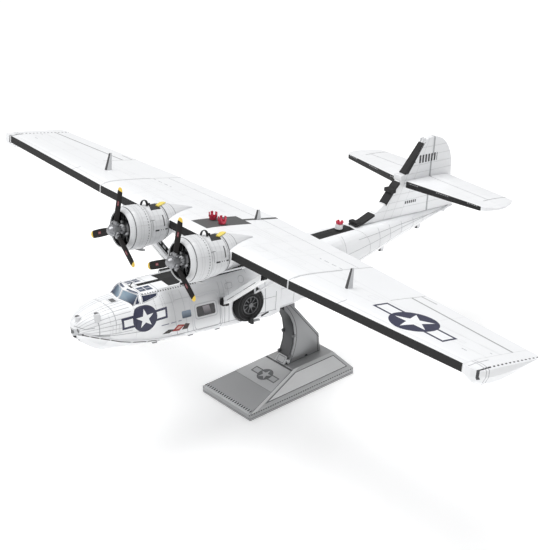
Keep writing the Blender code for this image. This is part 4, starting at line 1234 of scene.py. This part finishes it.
def red_crowns():
    """Folded crowns: a cup whose rim is cut into upright tabs."""
    red = red_finish().done()
    for name, node, radius in (
        ("roof_crown", "beacon_crown", 1.75),
        ("wing_crown_left", "wing_beacon_left", 1.85),
        ("wing_crown_right", "wing_beacon_right", 1.85),
    ):
        low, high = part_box(node)
        middle = (low + high) / 2
        back = AIRFRAME.inverted() @ Vector((middle.x, middle.y, low.z))
        height = (high.z - low.z) * 1000.0 - 0.9
        bm = bmesh.new()
        base, brim = radius * 0.82, radius * 0.92
        outline = ((0.0, 0.0), (0.0, base), (height * 0.45, brim), (height * 0.45, brim - 0.35),
                   (0.4, base - 0.35), (0.4, 0.0))
        turned(bm, outline, 30)
        bmesh.ops.transform(bm, matrix=Matrix.Rotation(pi / 2, 4, "X"), verts=bm.verts)
        for k in range(CROWN_TABS):
            made = block(bm, (-0.55, radius * 0.72, height * 0.35), (0.55, radius, height), 0.14)
            turn_about(bm, made, 2 * pi * k / CROWN_TABS, "Z")
        bmesh.ops.translate(bm, vec=(back.x, back.y, back.z + 0.25), verts=bm.verts)
        piece(name, bm, red, stands_for=(node,))


def fin_boots():
    """Black strips folded over the fillet and the fin's leading edge, with a clamp on each."""
    dark = Finish("boot_black", CHARCOAL, 0.5)
    cloud = dark.noise(500.0, 3.0)
    dark.colour = dark.blend(cloud, (0.006, 0.006, 0.0065), (0.02, 0.02, 0.021))
    dark.roughness = cloud * 0.2 + 0.6
    dark = dark.done()
    pale = enamel("fin_junction_enamel", (0.8, 0.81, 0.825)).done()
    section = ((-2.2, 0.0, 0.0), (2.2, 0.0, 0.0), (2.2, 0.3, -0.9), (1.9, 0.3, -0.9), (1.9, 0.2, -0.35),
               (-1.9, 0.2, -0.35), (-1.9, 0.3, -0.9), (-2.2, 0.3, -0.9))
    upper = ((-1.75, -0.24, 0.18), (1.75, -0.24, 0.18), (1.75, 0.5, -0.4), (1.5, 0.5, -0.4),
             (1.5, 0.0, 0.0), (-1.5, 0.0, 0.0), (-1.5, 0.5, -0.4), (-1.75, 0.5, -0.4))
    for name, outline, path, sizes, clamp in (
        ("fillet_boot", section, ((0.0, 144.6, 33.8), (0.0, 149.6, 34.6), (0.0, 156.0, 37.2)), None,
         (146.4, 33.8, 35.2)),
        ("fin_boot", section, ((0.0, 162.4, 41.0), (0.0, 168.0, 48.2), (0.0, 169.8, 50.0)), None,
         (166.4, 45.4, 47.2)),
        ("fin_upper_boot", upper, ((0.0, 172.8, 53.2), (0.0, 174.0, 54.5), (0.0, 183.2, 66.2)),
         (1.0, 1.0, 0.86), (177.8, 57.6, 58.2)),
    ):
        bm = bmesh.new()
        sweep(bm, outline, path, sizes)
        a, low, high = clamp
        half = 2.7 if outline is section else 1.9
        block(bm, (-half, a - 1.4, low), (half, a + 1.2, high), 0.25)
        piece(name, bm, dark)
    bm = bmesh.new()
    block(bm, (-2.4, 170.0, 50.2), (2.4, 172.8, 53.0), 0.5)
    for sign in (-1, 1):
        block(bm, (sign * 0.75 - 0.3, 183.0, 66.3), (sign * 0.75 + 0.3, 185.2, 68.2), 0.15)
    piece("fin_junction", bm, pale)


def tail_fittings():
    """Small light fittings along the tail's keel, each with a dark edge, and the hull's keel lugs."""
    grey = etched_steel("lug_steel", (0.24, 0.245, 0.25), 0.4).done()
    finish = enamel("keel_fitting_enamel", (0.8, 0.81, 0.825))
    _, a, _ = finish.axes(AIRFRAME)
    edges = joined([a.near(at, 0.4) for at in (139.2, 162.9, 184.9, 200.3)])
    finish.paint(edges, (0.04, 0.04, 0.042), 0.6)
    light = finish.done()
    bm = bmesh.new()
    for a, low, high in ((140.3, 10.5, 12.9), (164.0, 17.8, 20.3), (186.0, 24.9, 27.2), (201.4, 30.6, 32.7)):
        block(bm, (-0.6, a - 1.3, low), (0.6, a + 1.3, high), 0.2)
        block(bm, (-0.9, a - 0.4, low - 0.2), (0.9, a + 0.5, low + 0.5), 0.15)
    piece("tail_keel_fittings", bm, light)
    places = ((40.0, 0.9), (58.0, 0.2), (72.0, -0.2))
    lugs = [((-0.5, a - 1.2, low), (0.5, a + 1.2, low + 1.6), 0.2) for a, low in places]
    blocks("keel_lugs", lugs, grey)


def wing_fittings():
    """Hinge lugs on the trailing edge, and the nose piece where boot and float meet."""
    lug = etched_steel("hinge_steel", (0.45, 0.455, 0.46), 0.45).done()
    white = enamel("tip_joint_enamel").done()
    places = ((89.4, 95.9, 43.9), (115.7, 94.3, 43.6), (143.3, 92.7, 43.3))
    lugs = [((x - 0.8, a - 1.4, h - 0.25), (x + 0.8, a + 0.5, h + 0.2), 0.12) for x, a, h in places]
    nose = (((150.9, 59.6, 42.9), (152.5, 61.6, 44.7), 0.3),)
    for side, sign in SIDES:
        blocks(f"hinge_lugs_{side}", lugs, lug, sign)
        blocks(f"tip_joint_{side}", nose, white, sign)


# Side view of the stand's column: distance back from the model's middle, and height
COLUMN = ((2.4, 9.82), (4.6, 14.0), (6.4, 18.5), (7.1, 23.5), (6.7, 28.5), (5.0, 33.0), (2.2, 37.0),
          (2.0, 40.4), (8.2, 40.4), (8.2, 36.4), (20.9, 18.7), (21.4, 9.82))


def stand_pieces():
    """Folded column with its lugs, and the bright tab at its foot."""
    bm = bmesh.new()
    plate(bm, [(-4.0, y, z) for y, z in COLUMN], (1.0, 0.0, 0.0), 8.0)
    edges = [edge for edge in bm.edges if abs(edge.verts[0].co.x - edge.verts[1].co.x) < 0.01]
    ease(bm, edges, 0.18)
    piece("folded_column", bm, column_finish().done(), place=STAND, smooth=24.0,
          stands_for=("stand_column",))
    finish = etched_steel("tab_steel", (0.8, 0.81, 0.82), 0.3)
    x, y, z = finish.axes(STAND)
    inner = abs(rounded(x, z, 0.0, 11.4, 2.2, 1.1, 0.3)).near(0.0, 0.12)
    scribe(finish, inner & (z > 10.1), (0.3, 0.3, 0.31), 0.4)
    bright = finish.done()
    grey = etched_steel("edge_steel", (0.16, 0.163, 0.168), 0.4).done()
    bm = bmesh.new()
    outline = ((-3.0, 1.2, 9.85), (3.0, 1.2, 9.85), (3.4, 1.9, 10.5), (2.8, 3.6, 12.8), (-2.8, 3.6, 12.8),
               (-3.4, 1.9, 10.5))
    plate(bm, outline, (0.0, -0.8, 0.6), 0.35)
    block(bm, (3.2, 2.4, 10.4), (4.4, 3.6, 12.0), 0.2)
    piece("foot_tab", bm, bright, place=STAND)
    places = [(x, y, z) for y, z in ((4.5, 13.4), (7.3, 22.5)) for x in (-3.6, 3.6)]
    lugs = [((x - 0.6, y - 1.0, z - 0.7), (x + 0.6, y + 0.4, z + 0.7), 0.2) for x, y, z in places]
    blocks("column_lugs", lugs, grey, place=STAND)


def deck_pieces():
    """The V bracket on the cockpit roof, and the slotted rails along the deck's edges."""
    light = enamel("bracket_enamel", (0.7, 0.71, 0.72)).done()
    dark = etched_steel("bracket_black", (0.05, 0.05, 0.052), 0.45).done()
    leg = ((-0.1, -0.22, 0.0), (0.1, -0.22, 0.0), (0.1, 0.22, 0.0), (-0.1, 0.22, 0.0))
    path = ((1.3, 29.6, 28.2), (1.1, 28.9, 29.2), (0.6, 28.1, 30.2))
    swept("roof_bracket_light", leg, path, light)
    bm = bmesh.new()
    sweep(bm, leg, ((-0.3, 27.0, 28.2), (0.1, 27.4, 29.2), (0.5, 28.0, 30.2)))
    block(bm, (-1.0, 26.7, 28.1), (1.5, 27.5, 28.5), 0.12)
    piece("roof_bracket_dark", bm, dark)
    finish = enamel("deck_rail_enamel", (0.88, 0.89, 0.905))
    x, a, h = finish.axes(AIRFRAME)
    bars = a.near(68.85, 8.45) | ((57.5 - a) % 18.2 < 15.3) & (a < 57.5)
    finish.paint(bars & h.near(28.3, 0.6) & (abs(x) > 7.5), (0.012, 0.012, 0.0125), 0.7)
    finish.paint((abs(x) < 7.45) & (h > 28.9), (0.012, 0.012, 0.0125), 0.7)
    rail = finish.done()
    bar = etched_steel("chine_bar_black", (0.05, 0.05, 0.052), 0.5).done()
    bar_section = ((-0.6, 0.0, -0.3), (0.5, 0.0, -0.3), (0.5, 0.0, 0.3), (-0.6, 0.0, 0.3))
    for side, sign in SIDES:
        bar_box = (((6.6, 46.2, 27.4), (8.0, 79.0, 29.4), 0.3),)
        blocks(f"deck_rail_{side}", bar_box, rail, sign)
        path = ((11.9, 85.8, 7.3), (11.7, 88.0, 7.9), (11.5, 90.4, 8.4))
        swept(f"chine_bar_{side}", bar_section, path, bar, sign)
        fitting = (((10.6, 91.2, 7.9), (12.0, 93.9, 8.7), 0.25),)
        blocks(f"chine_fitting_{side}", fitting, light, sign)


# Each ring of a blade: distance out, chord, thickness, pitch in degrees
BLADE = ((1.0, 1.7, 1.3, 40.0), (3.4, 2.2, 1.1, 18.0), (5.4, 3.0, 0.8, 6.0), (8.0, 3.35, 0.7, 3.0),
         (12.0, 3.45, 0.6, 2.0), (16.0, 3.3, 0.5, 2.0), (17.4, 2.9, 0.45, 2.0), (18.2, 2.1, 0.4, 2.0),
         (18.5, 1.0, 0.3, 2.0))


def propeller_blades():
    """Three flat paddle blades on each shaft, lofted from rings that untwist towards the tip."""
    paint = blade_finish().done()
    for side, sign in SIDES:
        bm = bmesh.new()
        for k in range(3):
            made, loops = [], []
            for far, chord, thick, pitch in BLADE:
                turn = Matrix.Translation((0.0, 0.0, far)) @ Matrix.Rotation(radians(pitch), 4, "Z")
                size = Matrix.Diagonal((chord / 2, thick / 2, 1.0, 1.0))
                ring = bmesh.ops.create_circle(bm, segments=16, radius=1.0, matrix=turn @ size)["verts"]
                made += ring
                loops.append(list({edge for vert in ring for edge in vert.link_edges}))
            for low, high in zip(loops, loops[1:]):
                bmesh.ops.bridge_loops(bm, edges=low + high)
            for loop in (loops[0], loops[-1]):
                bmesh.ops.edgeloop_fill(bm, edges=loop)
            turn_about(bm, made, BLADE_TURN + 2 * pi * k / 3, "Y")
        piece(f"paddle_blades_{side}", bm, paint, f"propeller_{side}", engine_frame(sign),
              stands_for=(f"propeller_{side}",))


def masts():
    """Thin blades that lean aft and narrow towards the top, each folded from one strip."""
    finish = mast_finish().done()
    section = ((-0.5, 0.0, 0.0), (0.5, 0.0, 0.0), (0.62, 0.5, 0.0), (0.5, 3.4, 0.0), (-0.5, 3.4, 0.0),
               (-0.62, 0.5, 0.0))
    for name, x, a, foot, height, lean in (
        ("left", 81.1, MAST_A, MAST_FOOT, 8.6, 2.2),
        ("right", -81.1, MAST_A, MAST_FOOT, 8.6, 2.2),
        ("centre", 0.3, REAR_MAST_A, REAR_MAST_FOOT, 5.4, 1.3),
    ):
        path = ((x, a, foot - 0.6), (x, a, foot), (x, a + lean, foot + height))
        swept(f"mast_blade_{name}", section, path, finish, sizes=(1.0, 1.0, 0.4),
              stands_for=(f"mast_{name}",))


# Studio


def studio():
    """White paper floor, a white sky and three soft lamps."""
    floor_mesh = bpy.data.meshes.new("studio_floor")
    bm = bmesh.new()
    bmesh.ops.create_grid(bm, x_segments=1, y_segments=1, size=6.0)
    bm.to_mesh(floor_mesh)
    bm.free()
    floor = bpy.data.objects.new("studio_floor", floor_mesh)
    bpy.context.scene.collection.objects.link(floor)
    pale = Finish("floor_paper", (0.97, 0.97, 0.97), 0.8)
    paper = pale.done()
    shader = next(node for node in paper.node_tree.nodes if node.type == "BSDF_PRINCIPLED")
    shader.inputs["Emission Color"].default_value = (1.0, 1.0, 1.0, 1.0)
    shader.inputs["Emission Strength"].default_value = 0.22
    floor_mesh.materials.append(paper)

    world = bpy.data.worlds.new("studio_sky")
    world.use_nodes = True
    world.node_tree.nodes["Background"].inputs["Color"].default_value = (1.0, 1.0, 1.0, 1.0)
    world.node_tree.nodes["Background"].inputs["Strength"].default_value = 0.34
    bpy.context.scene.world = world
    bpy.context.scene.view_settings.view_transform = "Standard"

    # Name, place and size in metres, power in watts
    lamps = (
        ("top_lamp", (-0.1, -0.05, 1.1), 0.9, 11.2),
        ("bow_lamp", (-0.2, -1.1, 0.6), 0.6, 1.7),
        ("side_lamp", (1.1, -0.35, 0.5), 0.5, 0.85),
    )
    for name, place, size, power in lamps:
        lamp = bpy.data.lights.new(name, "AREA")
        lamp.size = size
        lamp.energy = power
        obj = bpy.data.objects.new(name, lamp)
        obj.location = place
        obj.rotation_euler = (Vector((0.0, 0.0, 0.06)) - obj.location).to_track_quat("-Z", "Y").to_euler()
        bpy.context.scene.collection.objects.link(obj)


# The lens that was fitted to the photograph
FOCAL_PIXELS, PHOTO_PIXELS = 1522.0, 550.0


def camera():
    """Stands where the photograph was taken from, and holds its frame."""
    azimuth, elevation, roll = radians(52.40), radians(26.43), radians(-3.08)
    back = Vector((sin(azimuth) * cos(elevation), -cos(azimuth) * cos(elevation), sin(elevation)))
    right = (-back).cross(Vector((0.0, 0.0, 1.0))).normalized()
    up = right.cross(-back)
    turned_right = right * cos(roll) + up * sin(roll)
    turned_up = right * -sin(roll) + up * cos(roll)
    lens = bpy.data.cameras.new("photo_camera")
    lens.sensor_width = 36.0
    lens.lens = FOCAL_PIXELS / PHOTO_PIXELS * lens.sensor_width
    obj = bpy.data.objects.new("photo_camera", lens)
    turn = Matrix((turned_right, turned_up, back)).transposed().to_4x4()
    obj.matrix_world = Matrix.Translation((0.4631, -0.3554, 0.3435)) @ turn
    bpy.context.scene.collection.objects.link(obj)
    bpy.context.scene.camera = obj


dress_nodes()
struts()
wheels()
radial_engines()
propeller_blades()
propeller_hubs()
nacelle_fittings()
bow_pieces()
deck_pieces()
red_crowns()
fin_boots()
tail_fittings()
wing_fittings()
masts()
stand_pieces()
studio()
camera()
